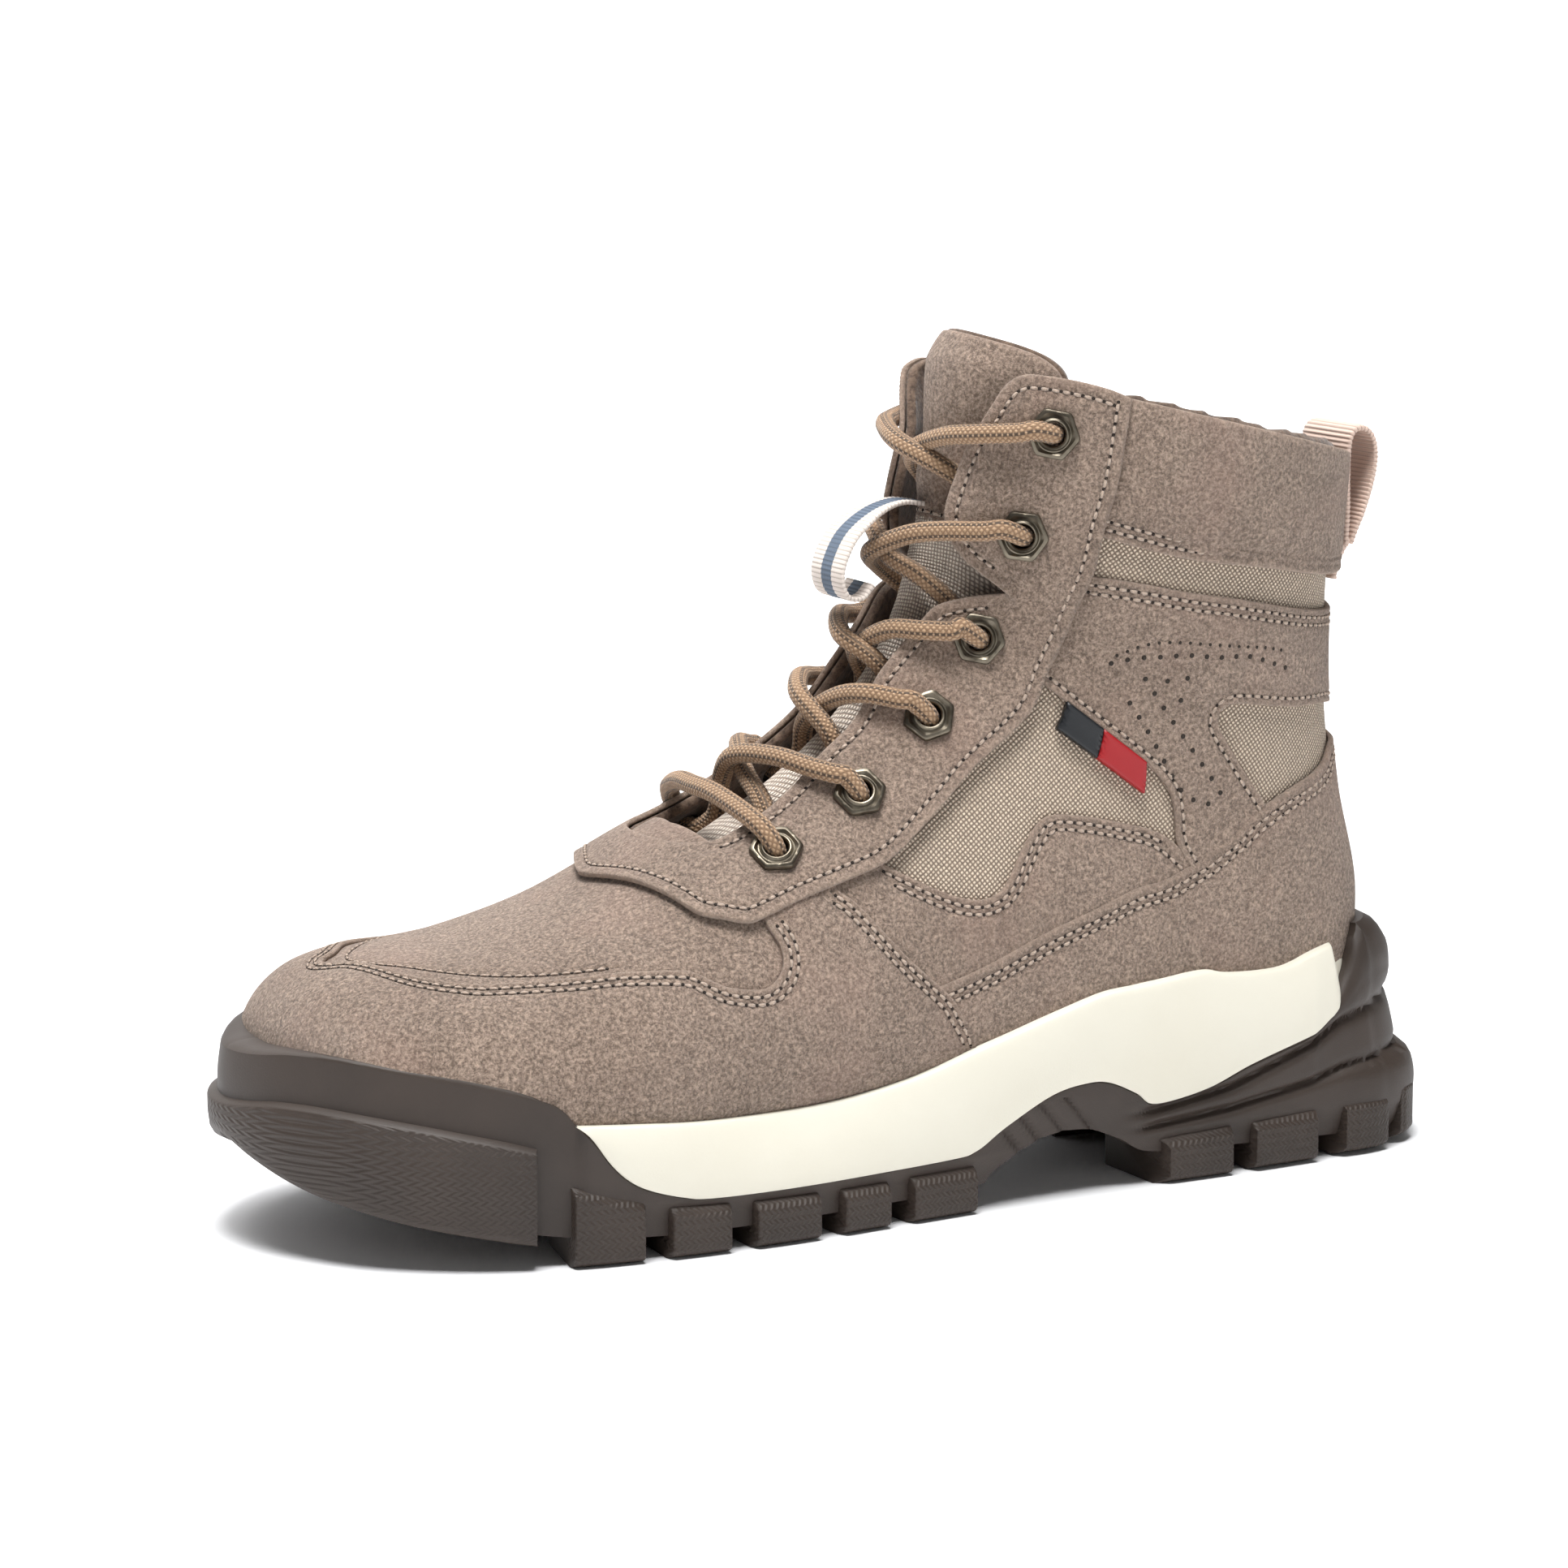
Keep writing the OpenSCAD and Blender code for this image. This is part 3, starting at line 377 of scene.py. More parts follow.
STEEL = metal("lacquered_steel", (0.62, 0.63, 0.65), (0.45, 0.46, 0.48), 0.35)
BRONZE = metal("dark_bronze", (0.20, 0.175, 0.135), (0.10, 0.085, 0.065), 0.38)
LACE = braid("braided_lace", (0.40, 0.26, 0.155), (0.22, 0.13, 0.07), (0.035, 0.024, 0.017))
WEBBING = striped("pink_webbing", (0.66, 0.50, 0.42), (0.36, 0.25, 0.20))
LOOP_WEBBING = striped("striped_webbing", (0.74, 0.66, 0.60), (0.42, 0.35, 0.30), (0.10, 0.14, 0.20), 2.7)


# ---------------------------------------------------------------- meshes
def build(name, points, faces, body, finish, nodes=(), uv=None, values=None):
    """A mesh object from points in millimetres; values holds named numbers for each point."""
    me = bpy.data.meshes.new(name)
    me.from_pydata((np.asarray(points, float) * MM).tolist(), [], [tuple(map(int, f)) for f in faces])
    me.polygons.foreach_set("use_smooth", [True] * len(me.polygons))
    me.materials.append(finish)
    if uv is not None:
        corner = np.empty(len(me.loops), int)
        me.loops.foreach_get("vertex_index", corner)
        me.uv_layers.new(name="cloth").data.foreach_set("uv", np.asarray(uv, float)[corner].ravel())
    for key, numbers in (values or {}).items():
        me.attributes.new(key, "FLOAT", "POINT").data.foreach_set("value", np.asarray(numbers, float))
    ob = bpy.data.objects.new(name, me)
    bpy.context.scene.collection.objects.link(ob)
    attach(ob, body)
    if nodes:
        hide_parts(*nodes)
    return ob


def grid_faces(rows, cols, wrap=False):
    """Quads over a grid of points, row by row; wrap joins the last column to the first."""
    return [(i * cols + j, i * cols + (j + 1) % cols, (i + 1) * cols + (j + 1) % cols, (i + 1) * cols + j)
            for i in range(rows - 1) for j in range(cols if wrap else cols - 1)]


def tube_faces(rows, cols):
    """A closed tube: quads round it and a face at each end."""
    ends = [tuple(reversed(range(cols))), tuple((rows - 1) * cols + j for j in range(cols))]
    return grid_faces(rows, cols, wrap=True) + ends


def tube(name, rows, body, finish, nodes, uv=None, sharp=60):
    """A closed tube from its sections, which are rows of points."""
    rows = np.array(rows)
    uv = None if uv is None else np.array(uv).reshape(-1, 2)
    ob = build(name, rows.reshape(-1, 3), tube_faces(*rows.shape[:2]), body, finish, nodes, uv)
    return outward_faces(ob, sharp)


def outward_faces(ob, sharp):
    """Turns all faces outward, and keeps edges over an angle sharp."""
    bm = bmesh.new()
    bm.from_mesh(ob.data)
    bmesh.ops.recalc_face_normals(bm, faces=bm.faces)
    bm.to_mesh(ob.data)
    bm.free()
    ob.data.set_sharp_from_angle(angle=math.radians(sharp))
    return ob


def evaluated(ob):
    return bpy.data.meshes.new_from_object(ob.evaluated_get(bpy.context.evaluated_depsgraph_get()))


def applied(ob, **modifiers):
    """The object with modifiers applied; each is named by its type and has its settings."""
    for kind, settings in modifiers.items():
        mod = ob.modifiers.new(kind, kind)
        for key, value in settings.items():
            setattr(mod, key, value)
    shaped = evaluated(ob)
    ob.modifiers.clear()
    ob.data = shaped
    return ob


def coords(mesh):
    co = np.empty(len(mesh.vertices) * 3)
    mesh.vertices.foreach_get("co", co)
    return co.reshape(-1, 3) / MM


def tree_of(points):
    tree = KDTree(len(points))
    for i, p in enumerate(points):
        tree.insert(Vector(p), i)
    tree.balance()
    return tree


def distances(points, tree):
    return np.array([tree.find(Vector(p))[2] for p in points])


def inside(points, loop):
    """Which points lie inside a closed outline."""
    x, y = points.T
    hit = np.zeros(len(points), bool)
    for (x0, y0), (x1, y1) in zip(loop, np.roll(loop, -1, 0)):
        if y1 != y0:
            hit ^= ((y0 > y) != (y1 > y)) & (x < (x1 - x0) * (y - y0) / (y1 - y0) + x0)
    return hit


# ---------------------------------------------------------------- panels
EDGE_STEP = 1.1          # spacing of the points along a panel's edge
EDGE_ROUND = 0.5         # radius of a cut edge
EDGE_PALE = 1.1          # width of the paler band along it
EDGE_LINES = (0.12, 0.35, 0.7, 1.5)          # distances from the edge at which it has lines of points
SEAM_LINES = (0, 0.55, -0.55, 1.1, -1.1)     # and the same for a row of stitches
GRID = np.array([2.0, 2.6])      # spacing of a panel's inner points along and round the boot, roughly
SCALE = np.array([18.0, 0.65])   # millimetres per line and per degree, roughly
GROOVE, GROOVE_HALF = 0.42, 0.6  # depth and half width of the channel that stitches pull into a panel
BACK_AXIS, BACK_RADIUS = -92.0, 36.0    # the axis and radius of the round back of the upper, for weaves


def cloth_grid(points):
    """Millimetres up and along the boot's side, and round its back."""
    x, y, z = points.T
    turn = np.arctan2(BACK_AXIS - x, np.abs(y))
    along = np.where(x > BACK_AXIS, -x, -BACK_AXIS + BACK_RADIUS * turn)
    return np.column_stack([z, along * np.sign(y)])


def inner_points(loop, seams, rim_tree):
    """Points inside an outline: close along its edge and its seams, and a staggered grid elsewhere."""
    closed = np.vstack([loop, loop[:1]])
    lines = [(beside(closed, d)[:-1], d * 0.85) for d in EDGE_LINES]
    lines += [(beside(even(seam, 1.2), d), 0.5) for seam in seams for d in SEAM_LINES]
    fine = np.vstack([line for line, _ in lines])
    room = np.concatenate([np.full(len(line), gap) for line, gap in lines])
    kept = inside(fine, loop)
    fine, room = fine[kept], room[kept]
    fine = fine[distances(shape_at(*fine.T), rim_tree) > room]
    pitch = GRID / SCALE
    lo, hi = loop.min(0), loop.max(0)
    angles = np.arange(lo[1], hi[1], pitch[1])
    t, a = np.meshgrid(np.arange(lo[0], hi[0], pitch[0]), angles, indexing="ij")
    t = t + (np.arange(len(angles)) % 2)[None, :] * pitch[0] / 2
    coarse = np.column_stack([t.ravel(), a.ravel()])
    coarse = coarse[inside(coarse, loop)]
    near = tree_of(np.vstack([shape_at(*fine.T), shape_at(*loop.T)]))
    return [fine, coarse[distances(shape_at(*coarse.T), near) > 1.3]]


def triangles(borders, inner):
    """Points and triangles that fill the first border and leave out the others."""
    edges, start = [], 0
    for border in borders:
        count = len(border)
        edges += [(start + i, start + (i + 1) % count) for i in range(count)]
        start += count
    points = [Vector(p * SCALE) for p in np.vstack(borders + inner)]
    verts, _, faces, *_ = delaunay_2d_cdt(points, edges, [], 0, 1e-6)
    flat = np.array([tuple(v) for v in verts]) / SCALE
    faces = np.array([f for f in faces if len(f) == 3])
    centres = flat[faces].mean(1)
    keep = inside(centres, borders[0])
    for hole in borders[1:]:
        keep &= ~inside(centres, hole)
    faces = faces[keep]
    corner = flat[faces]
    turned = np.cross(corner[:, 1] - corner[:, 0], corner[:, 2] - corner[:, 0]) > 0
    faces[turned] = faces[turned][:, ::-1]
    used, faces = np.unique(faces, return_inverse=True)
    return flat[used], faces.reshape(-1, 3)


def panel(name, edges, top, thick=1.3, body="root", slot="suede", finish=SUEDE, nodes=(), seams=(), holes=(),
          bulge=None, place=skin, straight=()):
    """A sheet with rounded edges on the surface. edges are open curves of (t, a) that join into an outline; top
    is the height of its upper face; seams are lines that dent it; holes are closed lines cut out of it; bulge
    is an extra height; edges whose numbers are in straight aren't smoothed."""
    loop = np.vstack([np.array(e[:-1]) if n in straight else even(smooth(e), EDGE_STEP)[:-1]
                      for n, e in enumerate(edges)])
    area = (loop[:, 0] * np.roll(loop[:, 1], -1) - np.roll(loop[:, 0], -1) * loop[:, 1]).sum()
    borders = [loop if area > 0 else loop[::-1]] + [np.asarray(h) for h in holes]
    rim_tree = tree_of(np.vstack([shape_at(*b.T) for b in borders]))
    flat, faces = triangles(borders, inner_points(borders[0], seams, rim_tree))
    base = shape_at(*flat.T)
    d = distances(base, rim_tree)
    d[d < 0.02] = 0
    dip = EDGE_ROUND - np.sqrt(np.maximum(0, EDGE_ROUND ** 2 - (EDGE_ROUND - np.minimum(d, EDGE_ROUND)) ** 2))
    raised = bulge(*flat.T, d) if bulge else 0
    height = top - dip + raised
    if len(seams):
        away = distances(base, tree_of(np.vstack([shape_at(*even(s, 0.5).T) for s in seams])))
        height = height - GROOVE * np.exp(-(away / GROOVE_HALF) ** 2) * np.minimum(1, d)
    low = np.minimum(height - 0.3, top - thick + raised)
    n = len(flat)
    rim = {(p, q) for f in faces for p, q in zip(f, np.roll(f, -1))}
    skirt = [(q, p, p + n, q + n) for p, q in sorted(rim) if (q, p) not in rim]
    all_faces = [*faces, *(faces[:, ::-1] + n), *skirt]
    uv = cloth_grid(base) if body == "root" else np.column_stack([flat[:, 0] * 15.5, base[:, 1]])
    pale = np.clip(1 - d / EDGE_PALE, 0, 1)
    points = np.vstack([place(*flat.T, height), place(*flat.T, low)])
    return build(name, points, all_faces, body, finish, nodes, uv=np.vstack([uv, uv]),
                 values={"edge": np.r_[pale, pale]})


# ---------------------------------------------------------------- stitches
STITCH = 2.6             # from one needle hole to the next
STITCH_HALF = 0.42       # half a thread's width
SUNK = 0.25              # how far the thread's line lies below the panel's top
PUNCHED = 0.62           # radius of the larger punched holes
STITCH_SHAPE = np.array([(-.98, 0, 0), (-.6, .8, .62), (0, 1, 1), (.6, .8, .62), (.98, 0, 0), (.6, -.8, .62),
                         (0, -1, 1), (-.6, -.8, .62), (-.6, 0, 1.05), (0, 0, 1.3), (.6, 0, 1.05)])
STITCH_FACES = [(0, 8, 1), (1, 8, 9, 2), (2, 9, 10, 3), (3, 10, 4), (4, 10, 5), (5, 10, 9, 6), (6, 9, 8, 7),
                (7, 8, 0), (0, 1, 2, 3, 4, 5, 6, 7)]
PIT_FACES = [(k, (k + 1) % 8, 8) for k in range(8)] + [tuple(reversed(range(8)))]


class Needle:
    """Collects rows of stitches and their holes, and makes one object of each; the holes are near-black cones
    of painted shade.
    """

    def __init__(self, name, body="root"):
        self.name, self.body = name, body
        self.thread, self.holes = [], []

    def row(self, line, height, pitch=STITCH, shift=0.0, place=skin):
        line = even(line, 0.4)
        p = place(*line.T, np.full(len(line), height))
        s = run(p)
        marks = np.arange((0.5 + shift) * pitch, s[-1] - pitch * 0.3, pitch)
        if len(marks) < 2:
            return
        ends, up = at_lengths(p, s, marks), unit(at_lengths(outward(*line.T), s, marks))
        z = unit((up[1:] + up[:-1]) / 2)
        x = (ends[1:] - ends[:-1]) / 2 * 0.86
        y = unit(np.cross(z, x)) * STITCH_HALF
        middle = (ends[1:] + ends[:-1]) / 2 - z * 0.1
        shape = middle[:, None] + sum(STITCH_SHAPE[None, :, i:i + 1] * axis[:, None]
                                      for i, axis in enumerate((x, y, z * STITCH_HALF)))
        self.thread.append(shape.reshape(-1, 3))
        self.pits(ends, up, np.gradient(ends, axis=0), 0.42, 0.06, 0.35)

    def dots(self, line, height, size):
        """Punched holes, as near-black cones of painted shade."""
        p, up = skin(*line.T, np.full(len(line), height)), outward(*line.T)
        self.pits(p, up, [0.2, 0.3, 0.9], size, 0.07, 0.5)

    def pits(self, points, up, toward, radius, lift, depth):
        """Near-black cones sunk at points, each with an eight-sided rim and a tip: painted shade inside the
        needle and punched holes.
        """
        side = unit(np.cross(up, toward))
        ahead = np.cross(side, up)
        turn = np.radians(np.arange(0, 360, 45))[None, :, None]
        rim = (points[:, None] + up[:, None] * lift
               + radius * (np.cos(turn) * side[:, None] + np.sin(turn) * ahead[:, None]))
        self.holes.append(np.concatenate([rim, (points - up * depth)[:, None]], 1).reshape(-1, 3))

    def finish(self):
        # the holes' object holds near-black cones of painted shade
        for ending, parts, size, shape, finish in (("_stitching", self.thread, 11, STITCH_FACES, THREAD),
                                                   ("_needle_holes", self.holes, 9, PIT_FACES, HOLE_SHADE)):
            points = np.vstack(parts)
            faces = [tuple(start + k for k in f) for start in range(0, len(points), size) for f in shape]
            build(self.name + ending, points, faces, self.body, finish)


# ---------------------------------------------------------------- outlines of the panels, outer side
STAY_REAR = [(15, 66), (13.9, 66.3), (13.15, 65), (12.35, 63), (11.5, 58), (10.6, 53), (10.35, 52), (9, 49),
             (8.33, 51), (7.68, 54), (7.2, 53), (6.78, 52), (6.4, 52), (6.25, 51.5), (6.08, 48), (5.88, 43),
             (5.75, 34), (5.58, 21), (5.38, 6), (5.34, 0)]
STAY_TOP = [(15, 66), (15.06, 60), (15.08, 52), (15.06, 44), (15, 38), (14.8, 34), (14.53, 32), (13.6, 27),
            (12.8, 25), (12.05, 24), (11.65, 26), (11.35, 32), (11.23, 43)]
STAY_THROAT = [(11.23, 43), (10.83, 35), (10.38, 27), (10.05, 24), (9.4, 20.5), (8.95, 19), (8.65, 20),
               (8.28, 22), (7.78, 22), (7.23, 25), (6.75, 26), (6.4, 25), (6.15, 18), (6.05, 8), (6.03, 0)]
SEAM = [(2.3, 0), (2.4, 5), (2.65, 11), (3.08, 30), (3.55, 38), (4, 41), (4.55, 45), (4.95, 48), (5.43, 54),
        (5.6, 57), (5.83, 64), (6.1, 68), (6.25, 68), (6.38, 65), (6.43, 60), (6.4, 54)]
GUARD_REAR = [(7.1, 48), (7.12, 54), (7.2, 58), (7.3, 66), (7.4, 74), (7.5, 80), (7.58, 85), (7.6, 88),
              (7.62, 100), (7.6, 116)]
GUARD_HEM = [(7.6, 116), (7.3, 121), (6.2, 127), (5.5, 124), (4.8, 119), (4.2, 117), (3.8, 110), (3.1, 100),
             (2.2, 92), (1.4, 80), (0.8, 56), (0.58, 30), (0.52, 0)]
WAVE_TOP = [(7.45, 47), (7.6, 53), (7.88, 63), (8.12, 69), (8.35, 70), (8.72, 65), (9.05, 63), (9.35, 66),
            (9.7, 72), (9.93, 78), (9.95, 88)]
WAVE_FOOT = [(9.95, 88), (9.3, 87), (8.5, 86), (7.9, 88), (7.42, 88)]
WAVE_FRONT = [(7.42, 88), (7.35, 80), (7.25, 72), (7.15, 64), (7.05, 56), (7.05, 47)]
ANKLE_TOP = [(12.2, 58), (12.33, 64), (12.55, 72), (12.78, 82), (13.2, 105), (13.55, 136), (13.75, 165),
             (13.8, 179.7)]
WINDOW = [(12.9, 179.7), (12.85, 165), (12.68, 140), (12.3, 118), (11.93, 100), (11.73, 94), (11.56, 91.3),
          (11.42, 91.3), (11.2, 96), (11.03, 102), (10.9, 109)]
ANKLE_FOOT = [(10.9, 109), (10.4, 99), (9.95, 91), (9.8, 88)]
ANKLE_FRONT = [(9.8, 88), (9.88, 83), (9.98, 80), (10.2, 78.6), (10.36, 77.5), (10.43, 75), (10.43, 70),
               (10.4, 60), (10.38, 53), (10.4, 47)]
COUNTER_TOP = [(7.45, 82.5), (7.95, 82), (8.53, 80), (9.18, 80), (9.5, 81.5), (9.95, 84), (10.45, 90),
               (11.1, 105), (11.55, 118), (12.05, 136), (12.33, 146), (12.5, 160), (12.6, 180)]
COUNTER_HEM = [(10.8, 180), (10.75, 170), (10.6, 155), (10.1, 132), (9.7, 126), (9.4, 118), (8.95, 110),
               (8.47, 107), (8, 111), (7.45, 117)]
COLLAR_FOOT = [(12.85, 58), (12.95, 64), (13.23, 83), (13.65, 110), (13.93, 142), (14.08, 165), (14.1, 179.7)]
CANVAS_FRONT = [(7.25, 48), (9, 44), (10.3, 47), (12.3, 57), (14.2, 61)]
CANVAS_HEM = [(12, 179.7), (11.6, 150), (11, 125), (10.2, 101), (9.5, 93), (8.5, 93), (7.7, 94), (7.25, 80)]
COLLAR_RIM = 15.0
EYELETS = [(6.8, 38), (7.8, 38), (8.9, 36), (10.3, 38), (12.3, 46), (14.2, 49)]
EYELET_HOLE = 3.6
LABEL = [(10.4, 57), (10.46, 72.5), (10.13, 72.5), (10.0, 56)]
LABEL_SPLIT = 0.46       # share of the label's length that is its dark field
# rows of punched holes in the ankle overlay: the line, the pitch and the radius of a hole
PERFORATIONS = [([(11.42, 67.5), (11.76, 73.5), (12.02, 79.5), (12.3, 88.5), (12.58, 100.5), (12.78, 110),
                  (12.88, 116.5)], 2.6, 0.42),
                ([(11.26, 66), (11.54, 71.5), (11.76, 77), (12.1, 86.5), (12.34, 96), (12.58, 105.5),
                  (12.72, 118)], 4.0, PUNCHED),
                ([(11.38, 73.5), (11.16, 77.5), (10.98, 82), (10.84, 86), (10.76, 88)], 4.2, PUNCHED),
                ([(10.94, 69.5), (10.78, 73), (10.54, 77.5), (10.46, 80.5), (10.56, 85)], 4.2, PUNCHED)]
LONE_HOLES = np.array([(11.56, 79), (11.78, 84.5), (11.44, 81.5)])
# heights of the panels' upper faces over the surface
CANVAS_TOP, PLUG_TOP, WAVE_H, ANKLE_H = -1.1, -0.35, 0.0, 0.35
COLLAR_H, HEEL_H, GUARD_H, STAY_H = 0.5, 0.6, 1.0, 2.0
CURL = 6.0               # how far the inner facing's top corner stands out


def hole_at(t, a, radius=EYELET_HOLE, count=28):
    """A circle of (t, a) on the surface."""
    e, f, g = metric(*slopes(t, a))
    out = []
    for w in np.arange(count) * 2 * math.pi / count:
        dt, da = math.cos(w) / math.sqrt(e), math.sin(w) / math.sqrt(g)
        size = math.sqrt(e * dt * dt + 2 * f * dt * da + g * da * da)
        out.append((t + radius * dt / size, a + radius * da / size))
    return out


def curl(t, a, d):
    """The inner facing's top corner curls away from the tongue."""
    up = np.clip((t - 13.5) / 1.3, 0, 1) ** 1.5
    return np.where(a < 0, CURL * np.exp(-((a + 26) / 11) ** 2) * up, 0)


def collar_swell(t, a, d):
    """The collar's padding swells its cover, except at its front, rear and foot."""
    up = np.clip(np.minimum((t - 13.4) / 0.7, (15.3 - t) / 0.45), 0, 1) ** 0.7
    a = np.abs(a)
    return 2.0 * up * np.clip((180 - a) / 6, 0, 1) ** 0.5 * np.clip((a - 67) / 14, 0, 1) ** 0.7


def under_guard(t, a):
    """A point of the toe seam moved on, so that the plug reaches under the guard."""
    if t < 3:
        return t - 0.12, a
    return (t + 0.15 if t > 6.2 else t), a + 3


stitches = Needle("upper")


def sew(rows, top, side=1):
    """Stitches along rows on one side; every second row starts half a stitch further on."""
    for n, row in enumerate(rows):
        stitches.row(row * [1, side], top - SUNK, shift=0.5 * (n % 2))


def side_panel(part, side, edges, top, rows=(), ending="_suede", **settings):
    """A panel on one side of the boot with its rows of stitches, all given for the outer side."""
    node = part + ("_lateral" if side > 0 else "_medial")
    seams = [r * [1, side] for r in rows]
    panel(node + ending, [side_of(side, e) for e in edges], top, nodes=[node], seams=seams, **settings)
    sew(rows, top, side)


# toe guard, plug and eyestay, each one piece over both sides
guard_front = seam_rows(across(SEAM), (1.8, 3.5))
guard_rear = seam_rows(GUARD_REAR, (1.6, 3.3), a0=53, a1=112)
panel("mudguard_suede", [across(SEAM), [(6.4, 54), (6.43, 50), (6.5, 48)], [(6.5, 48), (7.1, 48)], GUARD_REAR,
                         GUARD_HEM + mirrored(GUARD_HEM)[1:], mirrored(GUARD_REAR), [(7.1, -48), (6.5, -48)],
                         [(6.5, -48), (6.43, -50), (6.4, -54)]],
      GUARD_H, nodes=["toe_mudguard"], seams=guard_front + guard_rear + [r * [1, -1] for r in guard_rear])
sew(guard_front, GUARD_H)
sew(guard_rear, GUARD_H)
sew(guard_rear, GUARD_H, -1)

strip_row = even(smooth(across([(2.66, 0), (3.25, 23.5), (4.05, 36.5), (4.95, 45)])), 0.5)
plug_rear = [(6.55, 57), (6.85, 52), (6.8, 38), (6.45, 27), (6.35, 0)]
panel("vamp_suede", [across([under_guard(t, a) for t, a in SEAM]), plug_rear, mirrored(plug_rear)],
      PLUG_TOP, nodes=["vamp_plug"], seams=[strip_row])
sew([strip_row], PLUG_TOP)

stay_rear = STAY_REAR + mirrored(STAY_REAR)[1:]
throat_rows = seam_rows(STAY_TOP, [-3.0], t0=11.5, a1=63.5) + seam_rows(STAY_THROAT, [-3.0], t0=6.3, t1=10.9)
stay_seams = seam_rows(stay_rear, [3.1]) + throat_rows + [r * [1, -1] for r in throat_rows]
panel("eyestay_suede", [stay_rear, side_of(-1, STAY_TOP), side_of(-1, STAY_THROAT) + STAY_THROAT[-2::-1],
                        STAY_TOP[::-1]],
      STAY_H, 1.35, nodes=["eyestay"], seams=stay_seams, bulge=curl,
      holes=[hole_at(t, side * a) for t, a in EYELETS for _, side in SIDES])
for row in stay_seams:
    stitches.row(row, STAY_H - SUNK, pitch=2.5)

for _, side in SIDES:
    side_panel("quarter_canvas", side, [CANVAS_FRONT, [(14.2, 61), (14.4, 120), (14.5, 179.7)],
                                        [(14.5, 179.7), (12, 179.7)], CANVAS_HEM, [(7.25, 80), (7.25, 48)]],
               CANVAS_TOP, ending="_cloth", thick=1.2, slot="canvas", finish=CANVAS)
    side_panel("lower_overlay", side, [WAVE_TOP, WAVE_FOOT, WAVE_FRONT, [(7.05, 47), (7.45, 47)]], WAVE_H,
               seam_rows(WAVE_TOP, (1.8, 3.5), t0=7.55, t1=9.85))
    ankle_rows = seam_rows(ANKLE_TOP, (2.0, 3.8), a1=177) + seam_rows(WINDOW, [2.0], a1=177)
    side_panel("ankle_overlay", side, [ANKLE_TOP, [(13.8, 179.7), (12.9, 179.7)], WINDOW, ANKLE_FOOT,
                                       ANKLE_FRONT, [(10.4, 47), (12.2, 58)]],
               ANKLE_H, ankle_rows + seam_rows(ANKLE_FRONT, [2.0], a0=50, a1=177))
    side_panel("collar_cover", side, [COLLAR_FOOT, [(14.1, 179.7), (COLLAR_RIM, 179.7)],
                                      [(COLLAR_RIM, a) for a in (179.7, 140, 100, 62)],
                                      [(COLLAR_RIM, 62), (12.85, 58)]],
               COLLAR_H, seam_rows(COLLAR_FOOT, (-2.0, -3.8), a1=178), bulge=collar_swell)
    side_panel("facing_lining", side, [STAY_TOP, STAY_THROAT[:-2], [(6.15, 18), (6.5, 44)],
                                       [(6.5, 44), (9, 42), (10.35, 45), (12.35, 56), (15, 60)],
                                       [(15, 60), (15, 66)]],
               0.22, ending="_cloth", thick=2.4, slot="lining", finish=LINING, bulge=curl,
               holes=[hole_at(t, side * a) for t, a in EYELETS])
    for line, pitch, size in PERFORATIONS:
        stitches.dots(even(smooth(line), pitch) * [1, side], ANKLE_H, size)
    stitches.dots(LONE_HOLES * [1, side], ANKLE_H, PUNCHED)

counter_line = COUNTER_TOP + behind(COUNTER_TOP)[1:]
counter_rows = seam_rows(counter_line, (2.6, 4.4))
panel("heel_suede", [counter_line, [(7.45, 277.5), (7.45, 243)], [(t, 360 - a) for t, a in COUNTER_HEM[::-1]],
                     COUNTER_HEM, [(7.45, 117), (7.45, 82.5)]],
      HEEL_H, nodes=["heel_cover"], seams=counter_rows)
sew(counter_rows, HEEL_H)
stitches.finish()

# the label: two plain fields, no lettering
split = [tuple(np.add(np.multiply(p, 1 - LABEL_SPLIT), np.multiply(q, LABEL_SPLIT)))
         for p, q in ((LABEL[0], LABEL[1]), (LABEL[3], LABEL[2]))]
for name, corners, finish in (("label_dark_field", [LABEL[0], *split, LABEL[3]], LABEL_BLACK),
                              ("label_red_field", [split[0], LABEL[1], LABEL[2], split[1]], LABEL_RED)):
    panel(name, [[corners[i], corners[(i + 1) % 4]] for i in range(4)], 1.0, 2.4, slot="label", finish=finish,
          nodes=["side_label"])


# ---------------------------------------------------------------- the sole's outline
# The path runs round the sole's outline on each side, from the middle of the heel to the tip of the toe
HEEL_MIDDLE, HEEL_HALF, HEEL_SQUARE = (-108, 1.5), (42, 35.5), 0.84
PLAN = [(-85, 40, -35), (-55, 42, -35), (-25, 45, -37), (5, 49, -42), (35, 53, -48), (65, 54, -52),
        (90, 52, -53), (110, 46, -50), (128, 35, -42), (140, 21, -31), (147, 8, -20)]   # x, outer y, inner y
TIP = (150, -7)
PATH_POINTS = 360
# x and height: of the seam between rubber and foam, and of the rubber's foot
SEAM_Z = [(-150, 34), (-118, 34), (-108, 31), (-90, 26), (-77, 21.5), (-63, 19.5), (-58, 22.5), (-51, 25.8),
          (-45, 26.6), (-35, 25), (-22, 19), (-14, 14.5), (-6, 13.4), (27, 12.8), (54, 12.8), (62, 13.8),
          (70, 16.2), (75, 19), (79, 23), (82.5, 28), (84.5, 30.2), (87, 32)]
ROOT_Z = [(-150, 1.4), (-138, 2.5), (-120, 5), (-80, 7), (-62, 8), (-54, 12), (-44, 15.5), (-32, 14.5),
          (-20, 8), (-12, 5.5), (50, 5), (75, 5.5), (95, 7.6), (120, 12.2), (140, 18.6), (150, 26)]
HEEL_TOP_Z = [(-150, 54.5), (-128, 54.5), (-124.5, 51), (-121.5, 45), (-117, 39), (-112.5, 34.5),
              (-108, 31.3), (-106, 30.6)]
